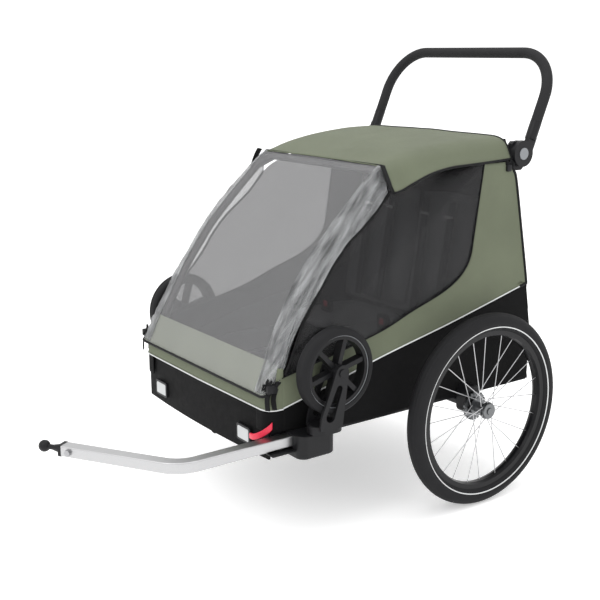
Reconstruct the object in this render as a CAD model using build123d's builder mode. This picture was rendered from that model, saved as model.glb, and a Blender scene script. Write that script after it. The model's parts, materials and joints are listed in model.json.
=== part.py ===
"""Two-seat child bicycle trailer: folding frame, fabric body, two spoked wheels, tow arm and stored casters.

Millimetres. +X is forward, +Y is the trailer's left and +Z is up. The origin is on the ground, below the
middle of the whole trailer. Points along the trailer are given from the wheel axle, and at() or one of the
three planes turns them into the part's own frame.
"""

import os
from math import cos, hypot, radians, sin

from build123d import *

# Handlebar
HANDLE_TILT = 22.9
HANDLE_LENGTH = 267.0
HANDLE_HALF = 304.0
HANDLE_CORNER = 118.0
GRIP_RADIUS = 14.0
TUBE_RADIUS = 11.0
# The handlebar's legs pass behind the pivot, by the distance from PIVOT_X to HANDLE_X.
PIVOT_X, PIVOT_Z, HANDLE_X = -170.0, 870.0, -185.0
GRIP_START = 84.0

# Tow arm
BALL_RADIUS = 13.5
BALL_X, BALL_Y = 1007.5, 15.0
ARM_WIDTH, ARM_HEIGHT, ARM_WALL = 30.0, 25.0, 2.5
ARM_Y, ARM_Z = 301.0, 268.0
ARM_REAR = 486.5
ARM_TURN = 57.3
ARM_BEND = 75.0
BALL_REACH = 52.0

# The row frame's origin lies midway between the hitch ball's nose and the back of the handlebar.
FRONT_TIP = BALL_X + BALL_RADIUS
REAR_TIP = HANDLE_X - HANDLE_LENGTH * sin(radians(HANDLE_TILT)) - GRIP_RADIUS
AXLE_X = -(FRONT_TIP + REAR_TIP) / 2

# Rear wheels
WHEEL_RADIUS = 247.5
TYRE_SECTION = 23.5
WHEEL_Y = 375.0
HUB_CAP_Y = 400.0
RIM_OUTER, RIM_INNER, RIM_HALF = 205.0, 190.0, 14.0
SPOKE_COUNT, SPOKE_RADIUS = 24, 1.1
PIN_RADIUS, RUNNING = 6.0, 0.05

# Casters
CASTER_X, CASTER_Y, CASTER_Z = 448.5, 345.0, 425.0
CASTER_RADIUS, CASTER_HALF = 100.0, 18.0
STEM_X, STEM_Y, STEM_RADIUS = 478.0, 333.0, 8.0
FORK_BASE_Z, FORK_BASE_HEIGHT = 288.0, 20.0

# Base and tub
TUB_REAR, TUB_FRONT, TUB_BOTTOM, TUB_TOP = -235.5, 580.0, 262.0, 345.0
TUB_HALF, TUB_NOSE_HALF, TUB_WALL = 299.0, 281.0, 3.0
RAIL_SIZE, RAIL_Y, RAIL_BOTTOM = 24.0, 265.0, 266.5
BLOCK_REAR, BLOCK_FRONT, BLOCK_BOTTOM, BLOCK_TOP = 445.0, 546.0, 230.0, 286.0
BLOCK_INNER, BLOCK_OUTER = 281.5, 350.0

# Folding frame
REAR_HINGE_X, REAR_HINGE_Z, POST_Y = -218.0, 360.0, 284.0
POST_TOP_X, POST_TOP_Z, POST_CUT_Z = -134.0, 850.0, 828.0
FRONT_HINGE_X, FRONT_HINGE_Z, PILLAR_Y = 560.0, 400.0, 259.0
PILLAR_RADIUS, CROSSBAR_RADIUS = 10.0, 10.0
CROSSBAR_X, CROSSBAR_Z = -166.0, 880.0
KNUCKLE_RADIUS, HINGE_PIN = 12.5, 5.0

# Fabric body
SKIN_INNER, SKIN_OUTER = 299.5, 302.0
WINDOW_EDGE = [(-42, 849), (-29, 761), (-16, 673), (-8, 626), (10, 594), (40, 568), (88, 544), (184, 512),
               (276, 479), (535, 437)]
PIPING = [(-190, 524), (279, 415), (552, 343)]
COVER_RIDGE = [(243, 862), (285, 825), (335, 778), (385, 729), (430, 678), (468, 628), (506, 572), (535, 522),
               (556, 480), (575.5, 437)]
COVER_SIDE = [(521, 486), (460, 565), (395, 652), (300, 775), (243, 849)]
COVER_HEM = (604.0, 375.0)
COVER_HALF, COVER_BAND_HALF = 262.0, 289.0

pieces = {}


def at(x, y, z):
    """A point of the part's frame, with x counted forward from the wheel axle."""
    return Vector(AXLE_X + x, y, z)


def side_plane(y):
    """Upright plane at y, whose sketch axes are forward from the axle and up. Extrusion goes to the right."""
    return Plane(origin=(AXLE_X, y, 0), x_dir=(1, 0, 0), z_dir=(0, -1, 0))


def front_plane(x):
    """Upright plane across the trailer, whose sketch axes are left and up. Extrusion goes forward."""
    return Plane(origin=(AXLE_X + x, 0, 0), x_dir=(0, 1, 0), z_dir=(1, 0, 0))


def top_plane(z):
    """Level plane, whose sketch axes are forward from the axle and left. Extrusion goes up."""
    return Plane(origin=(AXLE_X, 0, z), x_dir=(1, 0, 0), z_dir=(0, 0, 1))


def mirrored(left):
    """The right-hand twin of a left-hand piece."""
    with BuildPart() as right:
        mirror(left.part, about=Plane.XZ)
    return right


def pair(left):
    """A left-hand piece and its right-hand twin, as one group of separate solids."""
    with BuildPart() as both:
        add(left.part)
        mirror(left.part, about=Plane.XZ)
    return both


def left_and_right(name, left):
    """Files a left-hand piece and its twin as two nodes."""
    pieces[name + "_left"] = left
    pieces[name + "_right"] = mirrored(left)


def disc(x, z, radius, y_low, y_high, hole=0.0):
    """A round plate or tube whose axis runs across the trailer."""
    with BuildPart() as plate:
        with BuildSketch(side_plane(y_high)):
            with Locations((x, z)):
                Circle(radius)
                if hole:
                    Circle(hole, mode=Mode.SUBTRACT)
        extrude(amount=y_high - y_low)
    return plate


def side_slab(points, y_low, y_high):
    """A flat plate seen from the side as a polygon."""
    with BuildPart() as slab:
        with BuildSketch(side_plane(y_high)):
            with BuildLine():
                Polyline(*points, close=True)
            make_face()
        extrude(amount=y_high - y_low)
    return slab


def square_tube(plane, centre, size, wall, length):
    """A square tube that stands on a plane."""
    with BuildPart() as tube:
        with BuildSketch(plane):
            with Locations(centre):
                RectangleRounded(size, size, wall)
                Rectangle(size - 2 * wall, size - 2 * wall, mode=Mode.SUBTRACT)
        extrude(amount=length)
    return tube


# ---------------------------------------------------------------- base frame and tub

RAIL_MID_Z = RAIL_BOTTOM + RAIL_SIZE / 2
RAIL_TOP = RAIL_BOTTOM + RAIL_SIZE
RAIL_INNER = RAIL_Y - RAIL_SIZE / 2
FRONT_MEMBER_X, REAR_MEMBER_X, MEMBER_SIZE, TUBE_WALL = 560.0, -206.0, 20.0, 2.0


def make_base_rails():
    rail = square_tube(front_plane(-224), (RAIL_Y, RAIL_MID_Z), RAIL_SIZE, TUBE_WALL, 224 + 549.5)
    return pair(rail)


def make_cross_members():
    """The front member spans to the tub's nose walls, the rear one lies between the rails."""
    with BuildPart() as members:
        for x, half in ((FRONT_MEMBER_X, TUB_NOSE_HALF - TUB_WALL - 0.5), (REAR_MEMBER_X, RAIL_INNER)):
            with BuildSketch(side_plane(half)):
                with Locations((x, RAIL_TOP - MEMBER_SIZE / 2)):
                    Rectangle(MEMBER_SIZE, MEMBER_SIZE)
                    Rectangle(MEMBER_SIZE - 2 * TUBE_WALL, MEMBER_SIZE - 2 * TUBE_WALL, mode=Mode.SUBTRACT)
            extrude(amount=2 * half)
    return members


def make_floor_tub():
    """Floor with low walls, stepped in at the nose to make room for the corner sockets."""
    with BuildPart() as tub:
        with BuildSketch(top_plane(TUB_BOTTOM)):
            with BuildLine():
                Polyline(
                    (TUB_REAR, -TUB_HALF), (428, -TUB_HALF), (444, -TUB_NOSE_HALF), (TUB_FRONT, -TUB_NOSE_HALF),
                    (TUB_FRONT, TUB_NOSE_HALF), (444, TUB_NOSE_HALF), (428, TUB_HALF), (TUB_REAR, TUB_HALF),
                    close=True,
                )
            make_face()
        extrude(amount=TUB_TOP - TUB_BOTTOM)
        offset(amount=-TUB_WALL, openings=tub.faces().sort_by(Axis.Z)[-1])
    return tub


RECEIVER_INNER, RECEIVER_OUTER, BEAM_END, BEAM_RADIUS = 302.5, 338.0, 320.0, 12.0


def make_axle_receiver():
    """Cast socket that holds the beam's end and the wheel's axle pin."""
    with BuildPart() as receiver:
        with BuildSketch(side_plane(RECEIVER_OUTER)):
            with Locations((0, 262)):
                RectangleRounded(48, 72, 18)
        extrude(amount=RECEIVER_OUTER - RECEIVER_INNER)
        with BuildSketch(side_plane(BEAM_END)):
            with Locations((0, WHEEL_RADIUS)):
                Circle(BEAM_RADIUS + RUNNING)
        extrude(amount=BEAM_END - RECEIVER_INNER, mode=Mode.SUBTRACT)
        with BuildSketch(side_plane(RECEIVER_OUTER)):
            with Locations((0, WHEEL_RADIUS)):
                Circle(PIN_RADIUS)
        extrude(amount=RECEIVER_OUTER - BEAM_END, mode=Mode.SUBTRACT)
        chamfer(receiver.faces().sort_by(Axis.Y)[-1].outer_wire().edges(), 3)
    return receiver


pieces["base_rails"] = make_base_rails()
pieces["cross_members"] = make_cross_members()
pieces["floor_tub"] = make_floor_tub()
pieces["axle_beam"] = disc(0, WHEEL_RADIUS, BEAM_RADIUS, -BEAM_END, BEAM_END, BEAM_RADIUS - TUBE_WALL)
pieces["axle_receivers"] = pair(make_axle_receiver())
pieces["axle_pins"] = pair(disc(0, WHEEL_RADIUS, PIN_RADIUS, BEAM_END, 388.0))


def make_socket_block():
    """Corner casting: a pocket for the tow arm in front, and a caster socket from above and from below."""
    fit = 0.3
    with BuildPart() as block:
        with BuildSketch(top_plane(BLOCK_BOTTOM)):
            with BuildLine():
                Polyline(
                    (BLOCK_REAR, BLOCK_INNER), (BLOCK_FRONT, BLOCK_INNER), (BLOCK_FRONT, BLOCK_OUTER),
                    (BLOCK_REAR, BLOCK_OUTER), close=True,
                )
            make_face()
        extrude(amount=BLOCK_TOP - BLOCK_BOTTOM)
        fillet(block.edges().filter_by(Axis.Z).group_by(Axis.Y)[-1], 22)
        fillet(block.faces().sort_by(Axis.Z)[-1].outer_wire().edges(), 3)
        fillet(block.faces().sort_by(Axis.Z)[0].outer_wire().edges(), 5)
        with BuildSketch(front_plane(ARM_REAR - 0.5)):
            with Locations((ARM_Y, ARM_Z)):
                Rectangle(ARM_WIDTH + 2 * fit, ARM_HEIGHT + 2 * fit)
        extrude(amount=BLOCK_FRONT - ARM_REAR + 1, mode=Mode.SUBTRACT)
        with BuildSketch(top_plane(262)):
            with Locations((STEM_X, STEM_Y)):
                Circle(STEM_RADIUS + RUNNING)
        extrude(amount=BLOCK_TOP - 262, mode=Mode.SUBTRACT)
        with BuildSketch(top_plane(BLOCK_BOTTOM)):
            with Locations((STEM_X, STEM_Y)):
                Circle(STEM_RADIUS)
        extrude(amount=25, mode=Mode.SUBTRACT)
    return block


left_and_right("socket_block", make_socket_block())


def make_hinge_fork(x, z, ears, block, block_top):
    """Two ears with a pin hole, joined below the hinge by a block that stands on the rail."""
    with BuildPart() as hinge:
        for low, high in ears:
            with BuildSketch(side_plane(high)):
                with Locations((x, z)):
                    Circle(KNUCKLE_RADIUS)
                with Locations((x, (z + RAIL_TOP) / 2)):
                    Rectangle(2 * KNUCKLE_RADIUS - 2, z - RAIL_TOP)
                with Locations((x, z)):
                    Circle(HINGE_PIN, mode=Mode.SUBTRACT)
            extrude(amount=high - low)
        with BuildSketch(side_plane(block[1])):
            with Locations((x, (block_top + RAIL_TOP) / 2)):
                Rectangle(2 * KNUCKLE_RADIUS - 2, block_top - RAIL_TOP)
        extrude(amount=block[1] - block[0])
    return hinge


FRONT_EARS = [(246.0, 251.5), (266.5, 272.0)]
REAR_EARS = [(271.0, 276.5), (291.5, 295.5)]
pieces["front_uprights"] = pair(make_hinge_fork(FRONT_HINGE_X, FRONT_HINGE_Z, FRONT_EARS, (246.0, 272.0), 384))
pieces["rear_knuckles"] = pair(make_hinge_fork(REAR_HINGE_X, REAR_HINGE_Z, REAR_EARS, (255.0, 295.5), 343))


def make_hinge_pins():
    with BuildPart() as pins:
        add(disc(FRONT_HINGE_X, FRONT_HINGE_Z, HINGE_PIN, 244.5, 273.5).part)
        add(disc(REAR_HINGE_X, REAR_HINGE_Z, HINGE_PIN, 269.5, 295.8).part)
    return pair(pins)


pieces["hinge_pins"] = make_hinge_pins()

# ---------------------------------------------------------------- front of the body

PANEL_HALF, PANEL_BOTTOM, PANEL_TOP, PANEL_CROWN, PANEL_THICK = 283.0, 223.0, 341.0, 12.0, 5.0
REFLECTOR_Y, REFLECTOR_Z, REFLECTOR_WIDTH, REFLECTOR_HEIGHT = 198.0, 263.0, 46.0, 30.0


def make_front_panel():
    """Bowed black panel under the front band, with a lip that turns in under the nose on two short posts."""
    corner = 588.0
    with BuildPart() as panel:
        with BuildSketch(top_plane(PANEL_BOTTOM)):
            with BuildLine():
                outer = ThreePointArc((corner, -PANEL_HALF), (corner + PANEL_CROWN, 0), (corner, PANEL_HALF))
                back = corner - PANEL_THICK
                inner = ThreePointArc((back, -PANEL_HALF), (back + PANEL_CROWN, 0), (back, PANEL_HALF))
                Line(outer @ 0, inner @ 0)
                Line(outer @ 1, inner @ 1)
            make_face()
        extrude(amount=PANEL_TOP - PANEL_BOTTOM)
        with BuildSketch(top_plane(PANEL_BOTTOM)):
            with Locations((572, 0)):
                Rectangle(44, 300)
        extrude(amount=3)
        with BuildSketch(top_plane(PANEL_BOTTOM + 3)):
            with Locations((560, 130), (560, -130)):
                Rectangle(16, 20)
        extrude(amount=TUB_BOTTOM - PANEL_BOTTOM - 3)
    return panel


def make_reflector_housing():
    with BuildPart() as housing:
        with BuildSketch(front_plane(596)):
            with Locations((REFLECTOR_Y, REFLECTOR_Z)):
                RectangleRounded(REFLECTOR_WIDTH + 10, REFLECTOR_HEIGHT + 10, 6)
        extrude(amount=6)
        with BuildSketch(front_plane(599)):
            with Locations((REFLECTOR_Y, REFLECTOR_Z)):
                RectangleRounded(REFLECTOR_WIDTH, REFLECTOR_HEIGHT, 4)
        extrude(amount=3, mode=Mode.SUBTRACT)
    return housing


def make_reflector():
    with BuildPart() as lens:
        with BuildSketch(front_plane(599)):
            with Locations((REFLECTOR_Y, REFLECTOR_Z)):
                RectangleRounded(REFLECTOR_WIDTH, REFLECTOR_HEIGHT, 4)
        extrude(amount=4)
        chamfer(lens.faces().sort_by(Axis.X)[-1].edges(), 1)
    return lens


BAND_PROFILE = [(586, 341.5), (599, 341.5), (592, 366), (579, 384), (574, 382), (584, 362)]

pieces["front_panel"] = make_front_panel()
pieces["front_band"] = side_slab(BAND_PROFILE, -TUB_NOSE_HALF, TUB_NOSE_HALF)
pieces["reflector_housings"] = pair(make_reflector_housing())
pieces["reflectors"] = pair(make_reflector())

LOOP_Y, LOOP_Z, LOOP_X, LOOP_THICK = 258.0, 281.0, 602.0, 8.0


def make_tow_release():
    """Red pull loop with a finger gap, and the stem that goes in through the front panel's side."""
    with BuildPart() as loop:
        with BuildSketch(front_plane(LOOP_X)):
            with Locations((LOOP_Y, LOOP_Z)):
                RectangleRounded(50, 36, 11)
                RectangleRounded(32, 19, 7, mode=Mode.SUBTRACT)
        extrude(amount=LOOP_THICK)
        fillet(loop.faces().sort_by(Axis.X)[-1].edges(), 2)
    return loop


pieces["tow_release"] = make_tow_release()


def make_webbing_loops():
    """A small hook under the nose, and the loop for a bag strap under the rear edge."""
    with BuildPart() as loops:
        with BuildSketch(side_plane(33)):
            with Locations((572, 214)):
                RectangleRounded(22, 17.8, 5)
                RectangleRounded(12, 8, 3, mode=Mode.SUBTRACT)
        extrude(amount=10)
        with BuildSketch(side_plane(258)):
            with Locations((-222, 253)):
                RectangleRounded(26, 17.8, 6)
                RectangleRounded(17, 9, 4, mode=Mode.SUBTRACT)
        extrude(amount=14)
    return loops


pieces["webbing_loops"] = make_webbing_loops()

BRAKE_X, BRAKE_Z, BRAKE_Y = -249.0, 290.0, 95.0


def make_brake_bracket():
    """Two ears on the rear wall that hold the pedal's barrel."""
    with BuildPart() as bracket:
        for low, high in ((BRAKE_Y - 46, BRAKE_Y - 40.5), (BRAKE_Y + 40.5, BRAKE_Y + 46)):
            with BuildSketch(side_plane(high)):
                with Locations((BRAKE_X, BRAKE_Z)):
                    Circle(8)
                with Locations((BRAKE_X + 5, BRAKE_Z)):
                    Rectangle(10, 16)
            extrude(amount=high - low)
        with BuildSketch(front_plane(BRAKE_X + 10)):
            with Locations((BRAKE_Y, BRAKE_Z)):
                Rectangle(92, 16)
        extrude(amount=TUB_REAR - BRAKE_X - 10)
        add(disc(BRAKE_X, BRAKE_Z, 3.0, BRAKE_Y - 41, BRAKE_Y + 41).part)
    return bracket


def make_brake_pedal():
    with BuildPart() as pedal:
        with BuildSketch(side_plane(BRAKE_Y + 40)):
            with Locations((BRAKE_X, BRAKE_Z)):
                Circle(6)
            with BuildLine():
                Polyline((BRAKE_X, BRAKE_Z - 5), (BRAKE_X - 34, BRAKE_Z + 3), (BRAKE_X - 34, BRAKE_Z + 9),
                         (BRAKE_X, BRAKE_Z + 5), close=True)
            make_face()
            with Locations((BRAKE_X, BRAKE_Z)):
                Circle(3.0 + RUNNING, mode=Mode.SUBTRACT)
        extrude(amount=80)
    return pedal


pieces["brake_bracket"] = make_brake_bracket()
pieces["brake_pedal"] = make_brake_pedal()

# ---------------------------------------------------------------- folding frame


def make_rear_post():
    """Round post on a hinge foot. It is cut level where the handlebar housing sits on it."""
    foot = at(REAR_HINGE_X, POST_Y, REAR_HINGE_Z)
    along = (at(POST_TOP_X, POST_Y, POST_TOP_Z) - foot).normalized()
    with BuildPart() as post:
        with BuildSketch(Plane(foot + along * 14.5, z_dir=along)):
            Circle(TUBE_RADIUS)
        extrude(amount=520)
        with BuildSketch(Plane(foot, z_dir=along)):
            Circle(5.5)
        extrude(amount=25)
        add(disc(REAR_HINGE_X, REAR_HINGE_Z, KNUCKLE_RADIUS, POST_Y - 7, POST_Y + 7).part)
        with BuildSketch(side_plane(POST_Y + 8)):
            with Locations((REAR_HINGE_X, REAR_HINGE_Z)):
                Circle(HINGE_PIN + RUNNING)
        extrude(amount=16, mode=Mode.SUBTRACT)
        split(bisect_by=Plane(at(0, 0, POST_CUT_Z)), keep=Keep.BOTTOM)
    return post


HOUSING_RADIUS, HOUSING_INNER, HOUSING_OUTER, PIVOT_PIN = 32.0, 284.0, 298.5, 8.0


def make_handlebar_housing():
    """Round pivot housing with a tall block in front of it, and the arm that sits on the post's top."""
    with BuildPart() as housing:
        add(disc(PIVOT_X, PIVOT_Z, HOUSING_RADIUS, HOUSING_INNER, HOUSING_OUTER).part)
        with BuildSketch(side_plane(HOUSING_OUTER)):
            with BuildLine():
                Polyline((-186, 836), (-178, POST_CUT_Z), (-122, POST_CUT_Z), (-118, 834), (-118, 849), (-141, 851),
                         (-160, 862), close=True)
            make_face()
        extrude(amount=HOUSING_OUTER - POST_Y + TUBE_RADIUS)
        with BuildSketch(side_plane(HOUSING_OUTER)):
            with BuildLine():
                Polyline((PIVOT_X, 901), (-147, 901), (-141, 895), (-141, 845), (-147, 839), (PIVOT_X, 839), close=True)
            make_face()
        extrude(amount=HOUSING_OUTER - HOUSING_INNER)
        with BuildSketch(side_plane(HOUSING_OUTER)):
            with Locations((PIVOT_X, PIVOT_Z)):
                Circle(PIVOT_PIN + RUNNING)
        extrude(amount=HOUSING_OUTER - HOUSING_INNER - 2, mode=Mode.SUBTRACT)
    return housing


pieces["rear_posts"] = pair(make_rear_post())
pieces["rear_crossbar"] = disc(
    CROSSBAR_X, CROSSBAR_Z, CROSSBAR_RADIUS, -HOUSING_INNER, HOUSING_INNER, CROSSBAR_RADIUS - TUBE_WALL
)
pieces["handlebar_housings"] = pair(make_handlebar_housing())


# Bends of the left leg, from the hinge to the front bar, and the radius of each.
LEFT_LEG = [(560, 259, 417), (547, 248, 466), (489, 250, 570), (406, 249, 682), (318, 247, 770), (236, 244, 847)]
LEG_RADII = (150, 400, 500, 600, 45)


def make_front_hoop():
    """One bent tube: both bowed front legs and the roof's front bar, on two hinge feet."""
    left = [at(*point) for point in LEFT_LEG]
    right = [Vector(point.X, -point.Y, point.Z) for point in reversed(left)]
    with BuildPart() as hoop:
        with BuildLine() as path:
            FilletPolyline(*left, *right, radius=(*LEG_RADII, *reversed(LEG_RADII)))
        with BuildSketch(Plane(left[0], z_dir=left[1] - left[0])):
            Circle(PILLAR_RADIUS)
        sweep(path=path.line)
        for side in (1, -1):
            y_mid = side * PILLAR_Y
            with BuildSketch(Plane(at(FRONT_HINGE_X, y_mid, FRONT_HINGE_Z))):
                Circle(5.5)
            extrude(amount=23)
            add(disc(FRONT_HINGE_X, FRONT_HINGE_Z, KNUCKLE_RADIUS, y_mid - 7, y_mid + 7).part)
            with BuildSketch(side_plane(y_mid + 8)):
                with Locations((FRONT_HINGE_X, FRONT_HINGE_Z)):
                    Circle(HINGE_PIN + RUNNING)
            extrude(amount=16, mode=Mode.SUBTRACT)
    return hoop


pieces["front_hoop_tube"] = make_front_hoop()

# ---------------------------------------------------------------- handlebar

HANDLE_UP = Vector(-sin(radians(HANDLE_TILT)), 0, cos(radians(HANDLE_TILT)))
HANDLE_PLANE = Plane(
    origin=at(HANDLE_X, 0, PIVOT_Z), x_dir=(0, 1, 0), z_dir=(HANDLE_UP.Z, 0, -HANDLE_UP.X)
)
HUB_RADIUS, HUB_INNER, HUB_OUTER, STUB_RADIUS, STUB_START = 33.0, 299.0, 312.0, 14.5, 37.0
BUTTON_RADIUS = 15.0


def handlebar_sweep(start, outer, inner):
    """A bent tube along the handlebar, from a height above one pivot to the same height above the other."""
    with BuildPart() as tube:
        with BuildLine(HANDLE_PLANE) as path:
            FilletPolyline(
                (HANDLE_HALF, start), (HANDLE_HALF, HANDLE_LENGTH), (-HANDLE_HALF, HANDLE_LENGTH),
                (-HANDLE_HALF, start), radius=HANDLE_CORNER,
            )
        with BuildSketch(Plane(path.line @ 0, z_dir=path.line % 0)):
            Circle(outer)
            Circle(inner, mode=Mode.SUBTRACT)
        sweep(path=path.line)
    return tube


def make_handlebar_hub():
    """Disc over the housing, its pivot pin, and the socket for the handlebar's end. The outer face takes a button."""
    socket_foot = HANDLE_PLANE.origin + HANDLE_UP * STUB_START + Vector(0, HANDLE_HALF, 0)
    with BuildPart() as hub:
        add(disc(PIVOT_X, PIVOT_Z, HUB_RADIUS, HUB_INNER, HUB_OUTER).part)
        add(disc(PIVOT_X, PIVOT_Z, PIVOT_PIN, HOUSING_INNER + 2.5, HUB_INNER).part)
        with BuildSketch(Plane(socket_foot, z_dir=HANDLE_UP)):
            Circle(STUB_RADIUS)
        extrude(amount=GRIP_START - 0.5 - STUB_START)
        with BuildSketch(Plane(HANDLE_PLANE.origin, z_dir=HANDLE_UP, x_dir=(0, 1, 0))):
            with Locations(((HUB_INNER + HUB_OUTER) / 2, 0)):
                Rectangle(HUB_OUTER - HUB_INNER, 27)
        extrude(amount=STUB_START + 8)
        with BuildSketch(Plane(socket_foot + HANDLE_UP * 6.5, z_dir=HANDLE_UP)):
            Circle(TUBE_RADIUS)
        extrude(amount=60, mode=Mode.SUBTRACT)
        with BuildSketch(side_plane(HUB_OUTER)):
            with Locations((PIVOT_X, PIVOT_Z)):
                Circle(BUTTON_RADIUS + 0.3)
        extrude(amount=7, mode=Mode.SUBTRACT)
    return hub


def make_button(x, z, radius, y_low, y_high):
    with BuildPart() as button:
        add(disc(x, z, radius, y_low, y_high).part)
        fillet(button.faces().sort_by(Axis.Y)[-1].edges(), 1)
    return button


pieces["handlebar_tube"] = handlebar_sweep(STUB_START + 6.5, TUBE_RADIUS, TUBE_RADIUS - TUBE_WALL)
pieces["foam_grip"] = handlebar_sweep(GRIP_START, GRIP_RADIUS, TUBE_RADIUS)
pieces["handlebar_hubs"] = pair(make_handlebar_hub())
left_and_right("handlebar_button", make_button(PIVOT_X, PIVOT_Z, BUTTON_RADIUS, 309.5, 314.0))

# ---------------------------------------------------------------- rear wheels

HUB_CORE, FLANGE_RADIUS, FLANGE_INNER_Y, FLANGE_OUTER_Y, FLANGE_THICK = 13.0, 22.0, 351.5, 386.5, 3.0
CAP_RADIUS, CAP_LOW, CAP_HIGH, RELEASE_RADIUS = 20.0, 388.5, 397.0, 9.0


def wheel_ring(profile_radius, section, low_cut, hollow):
    """A tyre: a round section, cut flat where it sits on the rim."""
    with BuildPart() as ring:
        with BuildSketch(Plane(at(0, 0, WHEEL_RADIUS), x_dir=(0, 1, 0), z_dir=(-1, 0, 0))):
            with Locations((WHEEL_Y, -profile_radius)):
                Circle(section)
                Circle(hollow, mode=Mode.SUBTRACT)
            with Locations((WHEEL_Y, -low_cut + 50)):
                Rectangle(100, 100, mode=Mode.SUBTRACT)
        revolve(axis=Axis(at(0, 0, WHEEL_RADIUS), (0, 1, 0)))
    return ring


def make_rim():
    """Hollow box section with a shallow well under the tyre."""
    with BuildPart() as rim:
        with BuildSketch(Plane(at(0, 0, WHEEL_RADIUS), x_dir=(0, 1, 0), z_dir=(-1, 0, 0))):
            with BuildLine():
                Polyline(
                    (WHEEL_Y - RIM_HALF, -RIM_OUTER), (WHEEL_Y - RIM_HALF + 4, -RIM_OUTER),
                    (WHEEL_Y - RIM_HALF + 5, -RIM_OUTER + 6), (WHEEL_Y + RIM_HALF - 5, -RIM_OUTER + 6),
                    (WHEEL_Y + RIM_HALF - 4, -RIM_OUTER), (WHEEL_Y + RIM_HALF, -RIM_OUTER),
                    (WHEEL_Y + RIM_HALF - 1, -RIM_INNER - 3), (WHEEL_Y + 5, -RIM_INNER),
                    (WHEEL_Y - 5, -RIM_INNER), (WHEEL_Y - RIM_HALF + 1, -RIM_INNER - 3), close=True,
                )
            make_face()
        revolve(axis=Axis(at(0, 0, WHEEL_RADIUS), (0, 1, 0)))
    return rim


def make_spokes():
    """Spokes go in turn to the outer and the inner flange, and each leans to one side in its pair."""
    with BuildPart() as spokes:
        for index in range(SPOKE_COUNT):
            rim_angle = 360 / SPOKE_COUNT * index
            forward_lean = index // 2 % 2
            lean = 50 if forward_lean else -50
            flange_y = (FLANGE_OUTER_Y if index % 2 else FLANGE_INNER_Y) + (1.8 if forward_lean else -1.8)
            hub_angle = rim_angle + lean
            reach = FLANGE_RADIUS - 3
            start = at(reach * cos(radians(hub_angle)), flange_y, WHEEL_RADIUS + reach * sin(radians(hub_angle)))
            end_y = WHEEL_Y + (3 if index % 2 else -3)
            end_reach = RIM_INNER + 2
            end = at(
                end_reach * cos(radians(rim_angle)), end_y, WHEEL_RADIUS + end_reach * sin(radians(rim_angle))
            )
            with BuildSketch(Plane(start, z_dir=end - start)):
                Circle(SPOKE_RADIUS)
            extrude(amount=(end - start).length)
    return spokes


def make_hub():
    """Flanged hub on running fit over the axle pin, with a toothed brake ring and the cap's recess."""
    with BuildPart() as hub:
        add(disc(0, WHEEL_RADIUS, HUB_CORE, 340.0, CAP_LOW).part)
        for flange_y in (FLANGE_INNER_Y, FLANGE_OUTER_Y):
            add(disc(0, WHEEL_RADIUS, FLANGE_RADIUS, flange_y - FLANGE_THICK / 2, flange_y + FLANGE_THICK / 2).part)
        add(disc(0, WHEEL_RADIUS, 37.0, 341.0, 346.0).part)
        with BuildSketch(side_plane(346.0)):
            with Locations((0, WHEEL_RADIUS)):
                with PolarLocations(37, 24):
                    Rectangle(8, 4.5, mode=Mode.ADD)
        extrude(amount=5, mode=Mode.SUBTRACT)
        add(disc(0, WHEEL_RADIUS, CAP_RADIUS, CAP_LOW, CAP_HIGH).part)
        fillet(hub.faces().sort_by(Axis.Y)[-1].outer_wire().edges(), 2.5)
        with BuildSketch(side_plane(CAP_HIGH)):
            with Locations((0, WHEEL_RADIUS)):
                Circle(RELEASE_RADIUS + 0.3)
        extrude(amount=CAP_HIGH - 390, mode=Mode.SUBTRACT)
        with BuildSketch(side_plane(388.3)):
            with Locations((0, WHEEL_RADIUS)):
                Circle(PIN_RADIUS + RUNNING)
        extrude(amount=60, mode=Mode.SUBTRACT)
    return hub


left_and_right("tyre", wheel_ring(WHEEL_RADIUS - TYRE_SECTION, TYRE_SECTION, RIM_OUTER, TYRE_SECTION - 3.5))
left_and_right("rim", make_rim())
left_and_right("spokes", make_spokes())
left_and_right("wheel_hub", make_hub())
left_and_right("release_button", make_button(0, WHEEL_RADIUS, RELEASE_RADIUS, 393.5, HUB_CAP_Y))

# ---------------------------------------------------------------- stored casters

LEG_GAP, LEG_THICK = 22.0, 6.0
CASTER_PIN = 5.0


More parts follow.
